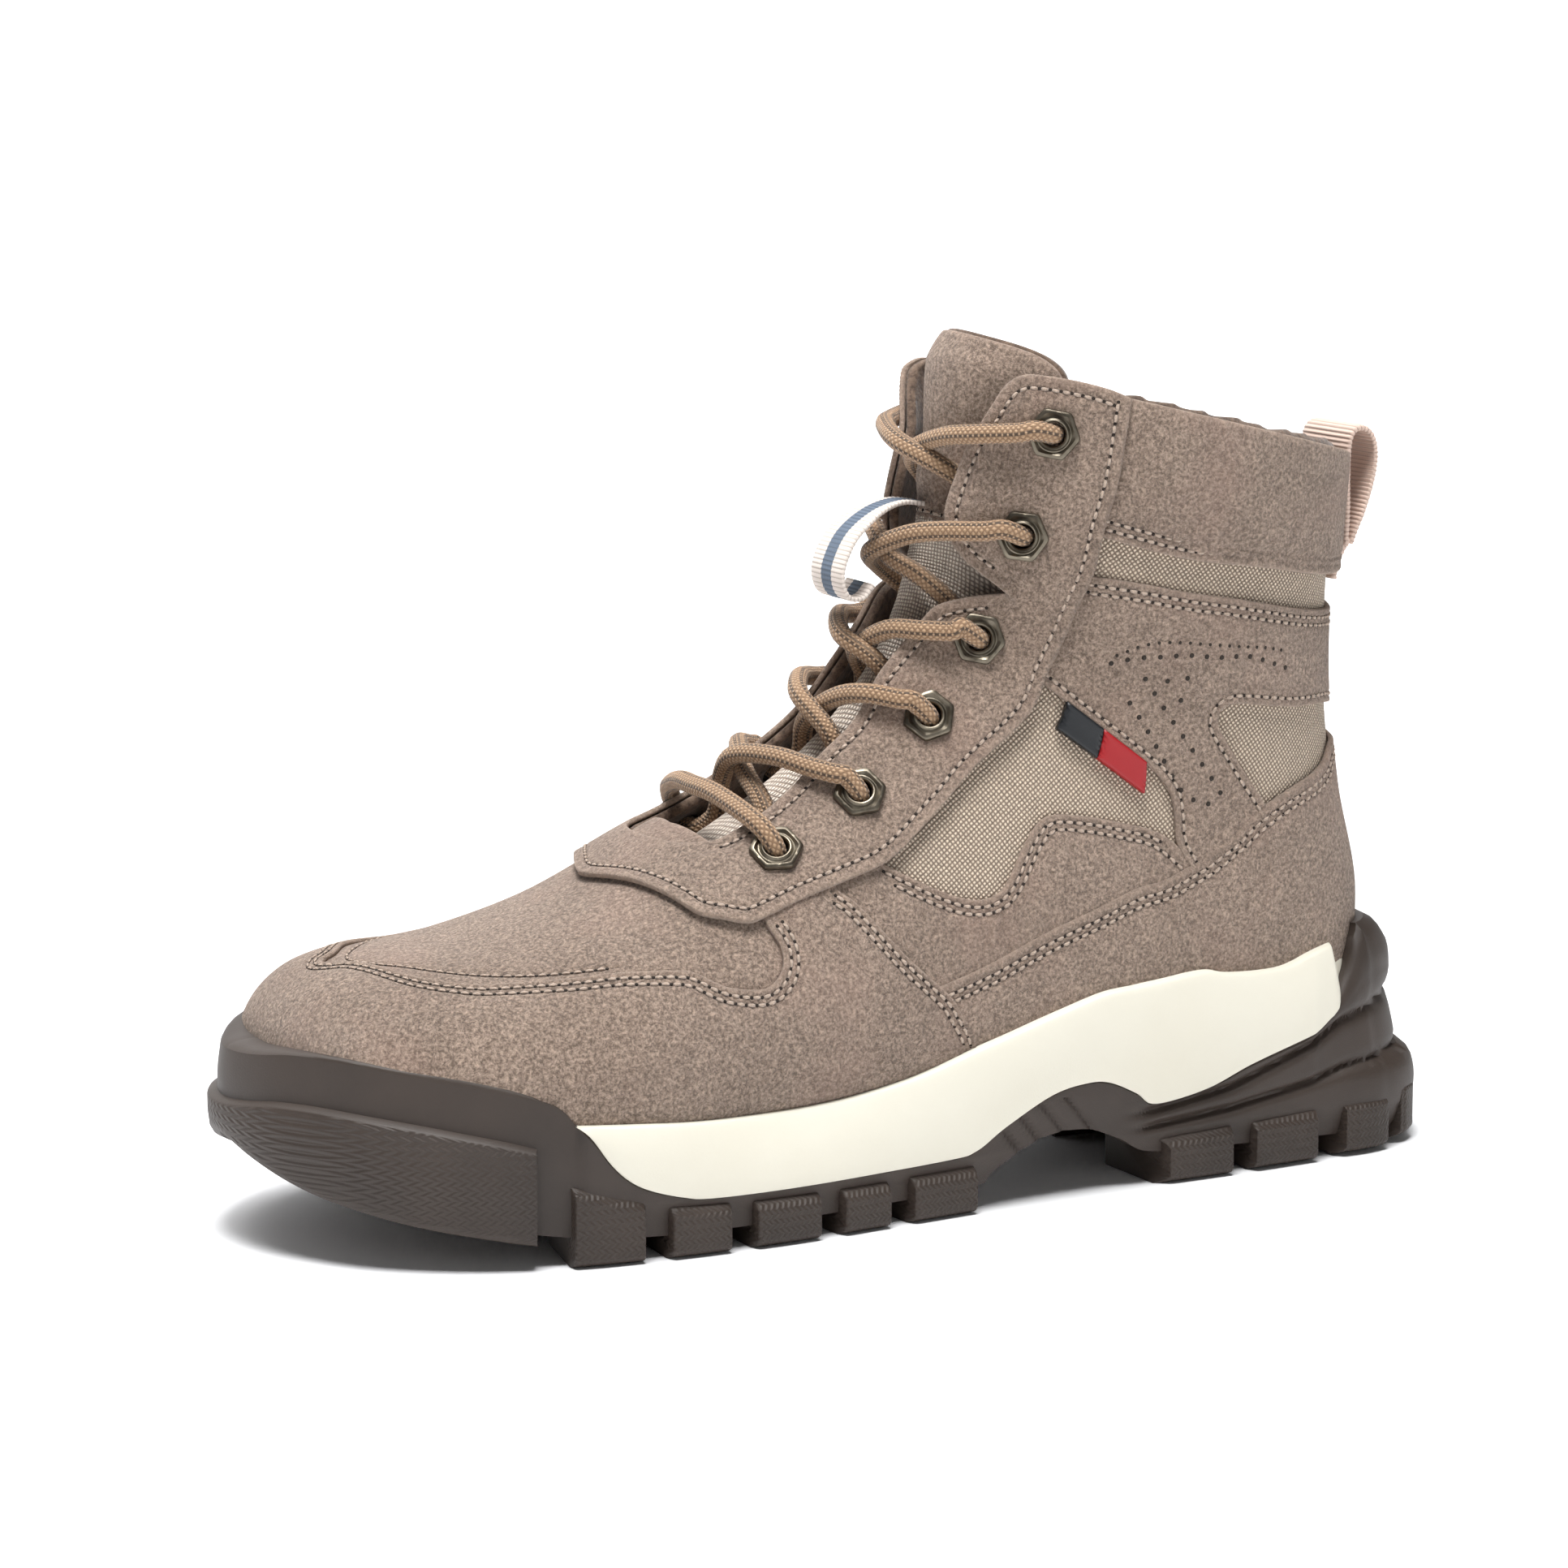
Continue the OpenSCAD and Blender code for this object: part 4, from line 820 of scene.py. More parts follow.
# x and height of the heel's two creases
CREASES = [[(-150, 38), (-118, 33), (-108, 28.5), (-85, 21), (-63, 17.8), (-50, 17)],
           [(-150, 23), (-118, 21.5), (-108, 19.5), (-85, 16), (-63, 14), (-50, 13)]]
# height, and how far the middle of the heel's back lies inside the outline: three swellings between creases
SWELLINGS = [[(0.6, 5.2), (2.5, 3.0), (5, 1.6), (9.3, 0.2), (14.8, 0), (18.5, 0.7), (21.2, 2.3), (22.6, 4.6)],
             [(22.6, 6.4), (23.6, 5.9), (25.5, 5.7), (28, 6.2), (32, 7.2), (35.5, 8.4), (37.2, 9.4)],
             [(37.2, 9.6), (38.4, 8.3), (40.6, 7.5), (43, 7.2), (44.2, 7.8), (45.4, 7.4), (48, 8.2), (51, 10),
              (53, 12), (54.6, 15)]]
PROFILE = (0.6, 22.6, 37.2, 54.5)    # heights of the foot, the creases and the top in that table
# where the toe band meets the upper, as lines and angles, and x and height of its rounded lip
BAND_TOP = [(4.3, 111), (4.12, 95), (3.9, 85.5), (3.34, 78), (2.52, 71.5), (1.9, 65), (1.38, 56.5), (1.0, 46),
            (0.8, 36), (0.68, 22), (0.63, 0)]
BAND_LIP = [(83, 28), (84.5, 29.6), (86, 31.4), (88.4, 34.4), (91, 36.6), (95, 37.9), (104, 39.7),
            (120, 43.2), (131, 45.3), (141, 45.6), (147, 44.6), (150, 44.3)]
BAND_LIP_SHARE = 0.86    # share of the wall's rows that lie under the lip
LIP_INSET, ROOT_INSET = 3.1, 3.6
INNER_DROP = 2.6
MIDSOLE_FRONT = 87.0
# the midsole's rim on the upper: place on the path, an angle behind the heel's middle or an x, then line, angle
RIM_HEEL = [(177, 10.95, 177), (155, 10.9, 160), (133, 10.7, 145), (112, 10.45, 131)]
RIM_SIDE = [(-108, 10.12, 120), (-97, 9.72, 114.5), (-85, 9.35, 109), (-77, 9.2, 105), (-63, 8.85, 102),
            (-56, 8.7, 101), (-47, 8.5, 100), (-35, 8.2, 103), (-22, 7.85, 107), (-14, 7.55, 110),
            (5, 7, 117), (27, 6.35, 120.5), (54, 5.45, 117), (72, 4.8, 112), (87, 4.28, 109)]


def heel_point(side, w):
    """The point at w degrees on the squarish round of the heel."""
    c, s = math.cos(math.radians(w)), math.sin(math.radians(w))
    return (HEEL_MIDDLE[0] + HEEL_HALF[0] * math.copysign(abs(c) ** HEEL_SQUARE, c),
            HEEL_MIDDLE[1] + side * HEEL_HALF[1] * math.copysign(abs(s) ** HEEL_SQUARE, s))


def path_of(side):
    """Even points round one side of the sole, their outward directions and their lengths along it."""
    heel = [heel_point(side, w) for w in (195, 180, 165, 150, 135, 120, 105)]
    rest = [(x, outer if side > 0 else inner) for x, outer, inner in PLAN]
    beyond = (PLAN[-1][0], PLAN[-1][2] if side > 0 else PLAN[-1][1])
    line = smooth(heel + rest + [TIP, beyond], 24)[24:-24]
    s = run(line)
    at = np.linspace(0, s[-1], PATH_POINTS)
    line = at_lengths(line, s, at)
    way = np.gradient(line, axis=0)
    way[0], way[-1] = (0, side), (0, -side)
    return line, unit(np.column_stack([way[:, 1], -way[:, 0]])) * -side, at


def table(rows, x):
    """A smooth curve through the rows (x, value)."""
    fine = smooth(rows, 12)
    return np.interp(x, fine[:, 0], fine[:, 1])


def straight_table(rows, x):
    return np.interp(x, *np.array(rows).T)


def step(x, lo, hi):
    """A soft step from 0 at lo to 1 at hi."""
    f = np.clip((np.asarray(x, float) - lo) / (hi - lo), 0, 1)
    return f * f * (3 - 2 * f)


def heel_share(x):
    return np.clip((HEEL_MIDDLE[0] - x) / HEEL_HALF[0], 0, 1) ** 0.8


def inner_drop(side, s):
    """How much lower the toe block and band run round the inner side of the toe."""
    return INNER_DROP * (0.5 - side * 0.5 * step(s[-1] - s, 0, 28))


def nearest(line, x, among):
    """The number of the path's point at x, among some of them."""
    return among[np.argmin(abs(line[among, 0] - x))]


def rim_of(side, line, s):
    """Line and angle of the midsole's rim for each point of the path."""
    marks = [(s[np.argmin(((line - heel_point(side, w)) ** 2).sum(1))], t, a) for w, t, a in RIM_HEEL]
    ahead = np.where(line[:, 0] > HEEL_MIDDLE[0] - 1)[0]
    marks += [(s[nearest(line, x, ahead)], t, a) for x, t, a in RIM_SIDE]
    marks = [(-marks[0][0], marks[0][1], 360 - marks[0][2])] + marks
    fine = smooth(marks, 10)
    return np.interp(s, fine[:, 0], fine[:, 1]), np.interp(s, fine[:, 0], fine[:, 2])


class Shell:
    """Grids joined into one mesh."""

    def __init__(self):
        self.points, self.faces, self.marks, self.count = [], [], [], 0

    def add(self, points, faces, ribbed=None):
        points = np.asarray(points, float).reshape(-1, 3)
        self.faces += [tuple(int(i) + self.count for i in f) for f in faces]
        self.points.append(points)
        self.marks.append(np.zeros(len(points)) if ribbed is None else np.asarray(ribbed, float).ravel())
        self.count += len(points)

    def make(self, name, finish, node, sharp):
        ob = build(name, np.vstack(self.points), self.faces, "root", finish, [node],
                   values={"ribbed": np.concatenate(self.marks)})
        return outward_faces(ob, sharp)


PATHS = {side: path_of(side) for _, side in SIDES}

# ---------------------------------------------------------------- the outsole's wall
brown = Shell()
WALL_ROWS = 34


def side_wall(line, out, top_z):
    """The wall round the heel and along the sides, from its foot to its top edge."""
    x = line[:, 0]
    root_z = table(ROOT_Z, x)
    f = np.linspace(0, 1, WALL_ROWS)[:, None]
    z = root_z + (np.maximum(top_z, root_z + 3) - root_z) * f
    high, low = (straight_table(crease, x) for crease in CREASES)
    spans = zip(SWELLINGS, (root_z, low, high), (low, high, top_z), PROFILE, PROFILE[1:])
    lower, middle, upper = (straight_table(rows, p0 + (z - z0) / np.maximum(z1 - z0, 0.1) * (p1 - p0))
                            for rows, z0, z1, p0, p1 in spans)
    back = np.where(z < low, lower, np.where(z < high, middle, upper))
    creased = sum(np.exp(-((z - c) / 1.1) ** 2) for c in (high, low)) * step(-x, 52, 66)
    arch = step(x, -60, -50) * (1 - step(x, -24, -12))
    grooves = sum(np.exp(-((x - (g + (z - 16) * 0.9)) / 0.9) ** 2) for g in (-46, -38.5, -31, -24)) * (z < 24)
    inset = straight_table([(0, 3.4), (6, 3.0), (9, 2.6), (13, 1.2), (60, 1.0)], z) + 1.9 * creased
    inset = inset + arch * (grooves + 1.6 * (1 - step(z, 12, 24)))
    toe = step(x, 84, 97)
    inset = inset * (1 - toe) + ROOT_INSET * toe
    inset = inset * (1 - heel_share(x)) + back * heel_share(x)
    inset = np.where(f > 0.985, inset + 0.35, inset)
    return np.concatenate([line[None] - out[None] * inset[..., None], z[..., None]], -1)


def toe_band(side, line, out, s):
    """Round the toe the wall rises to a rounded lip, and goes over it to the upper."""
    front = line[:, 0] > MIDSOLE_FRONT - 3.5
    marks = smooth(BAND_TOP, 20)
    edge = skin(marks[:, 0], side * marks[:, 1], np.full(len(marks), 0.5))
    e = run(edge)
    top_edge = at_lengths(edge, e, np.clip((s - s[front][0]) / (s[-1] - s[front][0]), 0, 1) * e[-1])
    lip = np.column_stack([line - out * LIP_INSET, table(BAND_LIP, line[:, 0]) - inner_drop(side, s)])
    foot = np.column_stack([line - out * ROOT_INSET, table(ROOT_Z, line[:, 0])])
    rise = np.linspace(0, 1, WALL_ROWS)[:, None, None]
    share = np.minimum(rise / BAND_LIP_SHARE, 1)
    face = foot + (lip - foot) * share
    face[..., :2] += out * np.sin(share * math.pi) * 1.1
    turn = np.clip((rise - BAND_LIP_SHARE) / (1 - BAND_LIP_SHARE), 0, 1) * math.pi / 2
    return face + (top_edge - lip) * np.concatenate([1 - np.cos(turn)] * 2 + [np.sin(turn)], -1), front


walls = {}
for side, (line, out, s) in PATHS.items():
    x = line[:, 0]
    top_z = np.where(x < -106, straight_table(HEEL_TOP_Z, x), table(SEAM_Z, x))
    band, front = toe_band(side, line, out, s)
    blend = (step(x, 83.5, 88) * front)[None, :, None]
    walls[side] = side_wall(line, out, top_z) * (1 - blend) + band * blend
inward = [walls[side][-1] - np.column_stack([out * 6, 0 * s + 0.6]) for side, (line, out, s) in PATHS.items()]
rows = np.concatenate([walls[1], walls[-1][:, ::-1]], 1)
rows = np.concatenate([rows, np.concatenate([inward[0], inward[1][::-1]])[None]])
brown.add(rows, grid_faces(*rows.shape[:2], wrap=True))
# underside: strips from one side to the other
under = np.array([walls[1][0] + (walls[-1][0] - walls[1][0]) * f for f in np.linspace(0, 1, 15)])
brown.add(under, grid_faces(*under.shape[:2]))

# ---------------------------------------------------------------- the outsole's tread
# front lugs: x of the ends, heights of the top there
FRONT_LUGS = [(-14, 4.5, 11.4, 11.2), (9, 23, 11.0, 11.0), (28, 45, 11.2, 11.4), (50, 66, 11.8, 12.4),
              (71, 88, 14.2, 18.6)]
# lugs beside the heel: x of the ends, height of the foot and of the top at the ends, slant of the front face
HEEL_LUGS = [(-85, -63.5, 0.0, 12.4, 11.2, 4.0), (-109, -90, 0.3, 13.4, 12.4, 1.6)]
# lugs round the back: angles of the ends, heights of foot and top, how far they stand out
BACK_LUGS = [(97, 119, 0.6, 14.0, 0.1), (126, 144, 1.4, 15.6, 0.1), (151, 172, 1.0, 17.5, -0.1)]
FRONT_SLANT, BACK_SLANT, CHAMFER = 1.3, 2.4, 2.4
LUG_ROUND = 0.55         # width of a block's rounded edges


def lug(path, pick, foot, tops, slant, out_by, reach):
    """A tread block along some points of the outline. tops are the heights of its ends; slant is how far its
    front face leans; reach is how far it goes in under the sole."""
    line, out, _ = path
    rows = []
    for i, top in zip(pick, np.linspace(*tops, len(pick))):
        # section from the inner bottom, round the outer face, to the inner top: inset and height
        section = [(reach, foot), (CHAMFER * 0.9 + 1.2, foot), (CHAMFER * 0.35, foot + 0.7), (0, foot + 1.8),
                   (0, top - CHAMFER * 1.05), (CHAMFER * 0.5, top - CHAMFER * 0.45), (CHAMFER + 0.9, top),
                   (reach, top + 0.5)]
        rows.append([(*(line[i] + out[i] * (out_by - inset)), z) for inset, z in section])
    rows = np.array(rows)
    way = unit(np.append(line[pick[-1]] - line[pick[0]], 0))
    for j, share in ((2, 0.75), (3, 1.0), (4, 1.0), (5, 0.75)):
        rows[-1, j] -= way * slant * share
        rows[-2, j] = rows[-1, j] - way
        rows[0, j] += way * 0.5
    add_block(rows)


def add_block(rows):
    """Adds a block with its edges rounded; its outer face is marked for the fine ribs."""
    me = bpy.data.meshes.new("block")
    me.from_pydata((rows.reshape(-1, 3) * MM).tolist(), [], tube_faces(*rows.shape[:2]))
    ob = bpy.data.objects.new("block", me)
    bpy.context.scene.collection.objects.link(ob)
    outward_faces(ob, 60)
    applied(ob, BEVEL=dict(width=LUG_ROUND * MM, segments=2, limit_method="ANGLE", angle_limit=math.radians(24),
                           harden_normals=False))
    points = coords(ob.data)
    from_face = distances(points, tree_of(rows[:, 3:5].reshape(-1, 3)))
    ribbed = np.exp(-np.maximum(0, from_face - 0.8) ** 2)
    brown.add(points, [tuple(f.vertices) for f in ob.data.polygons], ribbed)
    bpy.data.objects.remove(ob)


front_lugs = [(x0, x1, 0.0, *tops, FRONT_SLANT) for x0, x1, *tops in FRONT_LUGS]
for side, path in PATHS.items():
    x = path[0][:, 0]
    whole, back = np.arange(PATH_POINTS), np.where(x < HEEL_MIDDLE[0] + 1)[0]
    for x0, x1, foot, top0, top1, slant in front_lugs + HEEL_LUGS:
        ends = [nearest(path[0], v, whole) for v in (x0, x1)]
        lug(path, np.linspace(*ends, 6).astype(int), foot, (top0, top1), slant, 0.3, 24.0)
    for w0, w1, foot, top, out_by in BACK_LUGS:
        ends = [nearest(path[0], heel_point(side, w)[0], back) for w in (w1, w0)]
        lug(path, np.linspace(*ends, 7).astype(int), foot, (top, top), BACK_SLANT, out_by, 15)
# middle blocks, wider under the front than under the heel
for x0, x1, half in [(x0, x1, 17) for x0, x1, *_ in FRONT_LUGS[1:]] + [(-128, -114, 8)]:
    section = [(half, 8), (half, 1.2), (half - 1.5, 0.1), (1.5 - half, 0.1), (-half, 1.2), (-half, 8)]
    add_block(np.array([[(x, 3 + y, z) for y, z in section] for x in np.linspace(x0 + 4, x1 + 2, 3)]))

# the block round the toe: x and height of its top and of its foot
BLOCK_REAR = 95.0
BLOCK_TOP = [(90, 26), (95, 27.3), (105, 29.9), (121, 33.2), (135, 35.2), (143, 35.4), (147, 34.9),
             (150, 34.2)]
BLOCK_LOW = [(90, 5), (95, 5.5), (106, 7.4), (121, 10.3), (135, 14.2), (142, 17.4), (147, 21), (150, 24.4)]
toe_rows = []
for side, (line, out, s) in PATHS.items():
    rows = []
    for i in np.where(line[:, 0] > BLOCK_REAR)[0][::2]:
        top, low = table(BLOCK_TOP, line[i, 0]) - inner_drop(side, s)[i], table(BLOCK_LOW, line[i, 0])
        section = [(9, low + 1.6), (2.6, low - 0.2), (1.1, low + 0.4), (0.3, low + 1.8),
                   (-0.1, (top + low) / 2), (-0.1, top - 1.6), (0.15, top - 1.15), (0.5, top - 0.85),
                   (2.5, top - 0.05), (4.9, top + 0.2)]
        rows.append([(*(line[i] - out[i] * inset), z) for inset, z in section])
    toe_rows.append(rows)
rows = np.array(toe_rows[0] + toe_rows[1][::-1][1:])
for end, beside_end in ((0, 1), (-1, -2)):
    rows[end, 2:8] -= unit(rows[end, 4] - rows[beside_end, 4]) * 0.5
ribbed = np.zeros(rows.shape[:2])
ribbed[:, 3:6] = 1
brown.add(rows, tube_faces(*rows.shape[:2]), ribbed)
brown.make("outsole_moulding", RUBBER, "outsole", 32)

# ---------------------------------------------------------------- the midsole
# a lipped wall between the brown seam and the upper: share of the way up, and swelling
MID_PROFILE = [(0.0, 0.0), (0.04, 0.3), (0.15, 0.65), (0.32, 1.0), (0.5, 1.15), (0.68, 1.05), (0.84, 0.75),
               (0.93, 0.5), (0.97, 0.3), (0.99, 0.0), (1.0, -0.5)]
sections = []
for side, (line, out, s) in PATHS.items():
    keep = line[:, 0] < MIDSOLE_FRONT
    line, out, s = line[keep], out[keep], s[keep]
    x = line[:, 0]
    t, a = rim_of(side, line, s)
    heel = heel_share(x)
    tuck = step(-x, 116.5, 124)    # behind the heel's sides the foam lies inside the brown wall
    inset = 1.05 * (1 - heel) + 9.0 * heel + 4.0 * tuck
    low = np.column_stack([line - out * inset[:, None], table(SEAM_Z, x)])
    on_upper = skin(t, side * a, 0.4 - 1.6 * tuck)
    level = unit(outward(t, side * a) * [1, 1, 0])
    high = on_upper + level * (2.3 - 2.0 * tuck)[:, None]
    swell = np.clip((high[:, 2] - low[:, 2]) / 12, 0, 1) * (1 - heel)
    bulge = np.column_stack([out * swell[:, None], 0 * s])
    rows = [low + (high - low) * share + bulge * amount for share, amount in MID_PROFILE]
    rows += [on_upper + [0, 0, 0.1], skin(t, side * (a + 8), np.full(len(t), -1.0)),
             low - np.column_stack([out * 6, 0 * s + 0.4])]
    sections.append(np.array(rows))
loops = np.concatenate([sections[0][:, ::-1], sections[1][:, 1:]], 1).transpose(1, 0, 2)
cream = Shell()
cream.add(loops, tube_faces(*loops.shape[:2]))
cream.make("midsole_moulding", CREAM, "midsole", 50)


# ---------------------------------------------------------------- the collar's padding
def inflated(ob, voxel, cap, frames=20, pressure=4.0):
    """A soft pad: the closed form swells under pressure, no point further than cap, then is smoothed."""
    applied(ob, REMESH=dict(mode="VOXEL", voxel_size=voxel * MM, use_smooth_shade=True))
    before = coords(ob.data)
    settings = ob.modifiers.new("cloth", "CLOTH").settings
    settings.use_pressure = True
    settings.uniform_pressure_force = pressure
    settings.effector_weights.gravity = 0
    settings.quality = 5
    for number in range(1, frames + 1):
        bpy.context.scene.frame_set(number)
    after = evaluated(ob)
    move = coords(after) - before
    bpy.data.meshes.remove(after)
    ob.modifiers.clear()
    size = np.linalg.norm(move, axis=1, keepdims=True)
    swollen = before + move * np.minimum(1, cap / np.maximum(size, 1e-9))
    ob.data.vertices.foreach_set("co", (swollen * MM).ravel())
    ob.data.update()
    bpy.context.scene.frame_set(1)
    applied(ob, SMOOTH=dict(factor=0.5, iterations=4), SUBSURF=dict(levels=1, render_levels=1))
    ob.data.polygons.foreach_set("use_smooth", [True] * len(ob.data.polygons))


# the lining rolls over the rim and down the inside: lines and heights of its section, and its end angles
ROLL = [(14.7, -1.4), (14.93, -1.2), (15.04, -1.6), (15.1, -2.6), (15.08, -4.0), (14.97, -5.4), (14.75, -6.4),
        (14.3, -7.0), (13.8, -7.2), (13.3, -7.0), (12.9, -6.6), (12.75, -6.0), (12.95, -5.4), (13.5, -4.6),
        (14.1, -3.2)]
ROLL_ENDS = 63, 297
roll = smooth(ROLL + ROLL[:1], 4)[:-1]
sections = [skin(roll[:, 0], a, roll[:, 1]) for a in np.linspace(*ROLL_ENDS, 150)]
collar = tube("collar_lining_pad", sections, "root", LINING,
              ["collar_foam_lateral", "collar_foam_medial"], sharp=180)
inflated(collar, 1.9, 1.3)

# ---------------------------------------------------------------- the tongue
TONGUE_TOP = -9.9        # its height under the surface at its sides
TONGUE_RISE = [(6, 2.5), (8, 4.6), (13.4, 4.6), (15, 9), (16, 9)]   # line, and how much its middle rises
TONGUE_REACH = [(13, 26), (15, 44)]                   # line, and the angle at which the rise ends
TONGUE_SIDES = [(11.6, 45), (12.5, 48), (14, 49), (14.8, 49), (15.15, 46), (15.38, 38), (15.5, 27),
                (15.56, 13), (15.58, 0)]
CANVAS_SIDES = [(6.25, 14), (6.6, 26), (7.2, 38), (8, 43), (9.5, 45), (11, 47), (11.9, 47)]
BACK_SIDES = [(6.3, 14), (7.2, 38), (9.5, 45), (12, 49), (14, 50), (14.85, 50), (15.2, 47), (15.43, 38.5),
              (15.56, 27), (15.62, 13), (15.64, 0)]
PINKED = [(11.58 + (0.06 if i % 2 else -0.02), -45 + 90 * i / 36) for i in range(37)]    # a zigzag cut edge


def tongue_place(t, a, h):
    """The tongue's surface lies under the facings and rises along its middle."""
    turn = 90 * np.minimum(np.abs(a) / straight_table(TONGUE_REACH, t), 1)
    return skin(t, a, TONGUE_TOP + straight_table(TONGUE_RISE, t) * np.cos(np.radians(turn)) ** 2 + h)


def puffed(amount, width, t0, t1):
    """A bulge that grows from the panel's edge, above a line."""
    return lambda t, a, d: amount * (1 - np.exp(-d / width)) * step(t, t0, t1)


tongue = dict(body="tongue", place=tongue_place)
tongue_row = even(np.array([(11.78, -42), (11.78, 42)]), 0.5)
panel("tongue_top_suede", [PINKED, TONGUE_SIDES + mirrored(TONGUE_SIDES)[1:]], 0.0, straight=[0],
      nodes=["tongue_suede_top"], seams=[tongue_row], bulge=puffed(3.0, 6.0, 11.6, 12.6), **tongue)
tongue_needle = Needle("tongue", "tongue")
tongue_needle.row(tongue_row, -0.1, place=tongue_place, shift=0.2)
tongue_needle.finish()
panel("tongue_canvas_cloth", [CANVAS_SIDES, [(11.9, 47), (11.95, 0), (11.9, -47)], mirrored(CANVAS_SIDES),
                              [(6.25, -14), (6.2, 0), (6.25, 14)]],
      -0.15, 1.2, slot="tongue_cloth", finish=TONGUE_CLOTH, nodes=["tongue_canvas"], **tongue)
panel("tongue_back_lining", [BACK_SIDES + mirrored(BACK_SIDES)[1:], [(6.3, -14), (6.25, 0), (6.3, 14)]],
      -1.25, 4.6, slot="lining", finish=LINING, nodes=["tongue_lining"], bulge=puffed(1.2, 5.0, 12, 13),
      **tongue)

# ---------------------------------------------------------------- webbing loops
# upper half of the webbing's section: share of the half width and of the half thickness
WEB_TOP = [(-1, 0), (-1, 0.55), (-0.96, 1), (-0.6, 1), (-0.2, 1), (0.2, 1), (0.6, 1), (0.96, 1), (1, 0.55)]
WEB_SECTION = np.array(WEB_TOP + [(-u, -v) for u, v in WEB_TOP])
WEB_ROWS = 3.5           # rows of points a millimetre
# x and z of the loops' paths in the plane of the boot's middle
HEEL_LOOP = [(-130.0, 143.6), (-130.3, 152), (-130.2, 160), (-130.4, 167), (-131.6, 170.6), (-134.2, 171.5),
             (-136.8, 169.4), (-137.8, 165), (-137, 159), (-134.8, 152), (-132.6, 147), (-131.3, 143.8)]
HEEL_ANCHOR = [(-126.9, 135.5), (-127.4, 139), (-129.2, 142.6), (-130.9, 144.9)]
TONGUE_LOOP = [(-21, 158), (-15, 158.5), (-8.2, 156.4), (-1.9, 151.7), (1.6, 145.2), (1.8, 140.6), (0, 137.6),
               (-3.6, 137.4), (-6.4, 140.2)]


def ribbon(name, path, widths, thick, body, finish, node, rib):
    """Webbing along a path. widths are pairs of a share of its length and a width there; rib is the height and
    the pitch of the ribs across it."""
    line = smooth(path, 12)
    s = run(line)
    at = np.linspace(0, s[-1], int(s[-1] * WEB_ROWS))
    line = at_lengths(line, s, at)
    way = unit(np.gradient(line, axis=0))
    half = straight_table(widths, at / s[-1]) / 2
    height = thick / 2 + rib[0] * np.sin(2 * math.pi * at / rib[1])
    u, v = WEB_SECTION.T
    over, up = u * half[:, None], v * height[:, None]
    rows = np.stack([line[:, :1] - way[:, 1:] * up, over, line[:, 1:] + way[:, :1] * up], -1)
    tube(name, rows, body, finish, [node], uv=np.stack([at[:, None] + 0 * over, over], -1))


HEEL_RIB, TONGUE_RIB = (0.13, 1.1), (0.07, 1.0)
ribbon("heel_pull_webbing", HEEL_LOOP, [(0, 22), (1, 22)], 1.3, "heel_loop", WEBBING,
       "heel_loop", HEEL_RIB)
ribbon("heel_pull_anchor", HEEL_ANCHOR, [(0, 21), (1, 21.5)], 1.7, "root", WEBBING,
       "heel_loop_base", HEEL_RIB)
ribbon("tongue_pull_webbing", TONGUE_LOOP, [(0, 8), (0.18, 10), (0.4, 16.5), (0.8, 17), (1, 14)], 1.0,
       "tongue", LOOP_WEBBING, "tongue_loop", TONGUE_RIB)

# ---------------------------------------------------------------- eyelets
FLATS, BORE = 11.0, 5.6
CORNER = 1.125           # the hexagon's blunted corners, as a share of its half width
# rings of an eyelet: share of the way from the bore to the hexagon's edge, height over the suede
EYELET_RINGS = [(1.0, -0.1), (1.0, 0.75), (0.95, 1.15), (0.85, 1.35), (0.68, 1.4), (0.58, 1.15), (0.48, 0.9),
                (0.4, 0.95), (0.3, 1.35), (0.2, 1.6), (0.1, 1.55), (0.02, 1.25), (0.0, 0.7), (0.0, -3.6),
                (0.3, -3.6), (0.34, -0.1)]
SPOKES = 48
turn = np.arange(SPOKES) * 2 * math.pi / SPOKES
hexagon = FLATS / 2 * np.minimum(1 / np.cos((turn + math.pi / 6) % (math.pi / 3) - math.pi / 6), CORNER)
for name, side in SIDES:
    points, faces = [], []
    for t, a in EYELETS:
        centre, z = skin(t, side * a, STAY_H), outward(t, side * a)
        along = slopes(t, side * a)[0]
        x = unit(along - z * (along @ z))
        y = np.cross(z, x)
        start = len(points) * SPOKES
        for share, height in EYELET_RINGS:
            six = np.clip((share - 0.45) / 0.15, 0, 1)      # round inside, hexagonal outside
            edge = hexagon * six + FLATS / 2 * (1 - six)
            r = (BORE / 2 + (edge - BORE / 2) * share)[:, None]
            points.append(centre + r * (np.cos(turn)[:, None] * x + np.sin(turn)[:, None] * y) + z * height)
        for face in grid_faces(len(EYELET_RINGS) + 1, SPOKES, wrap=True):
            faces.append(tuple(start + k % (len(EYELET_RINGS) * SPOKES) for k in face))
    rims = build("eyelet_rims_" + name, np.vstack(points), faces, "root", BRONZE,
                 ["eyelets_" + name])
    outward_faces(rims, 30)

# ---------------------------------------------------------------- lace
LACE_RADIUS, LACE_IN = 2.3, -6.5
LACE_SIDES = 24
BRAID, BRAID_PITCH = 0.07, 1.7       # height and pitch of the braid's bumps
THROAT = [(5.3, 3), (6.2, 3), (6.4, 24), (7.2, 25), (7.8, 22), (8.3, 22), (9, 18), (10, 24), (10.4, 27),
          (10.9, 36), (11.2, 43), (11.3, 33), (11.6, 26), (12, 24), (12.8, 25), (13.6, 27), (14.5, 32),
          (14.8, 38), (15, 46)]
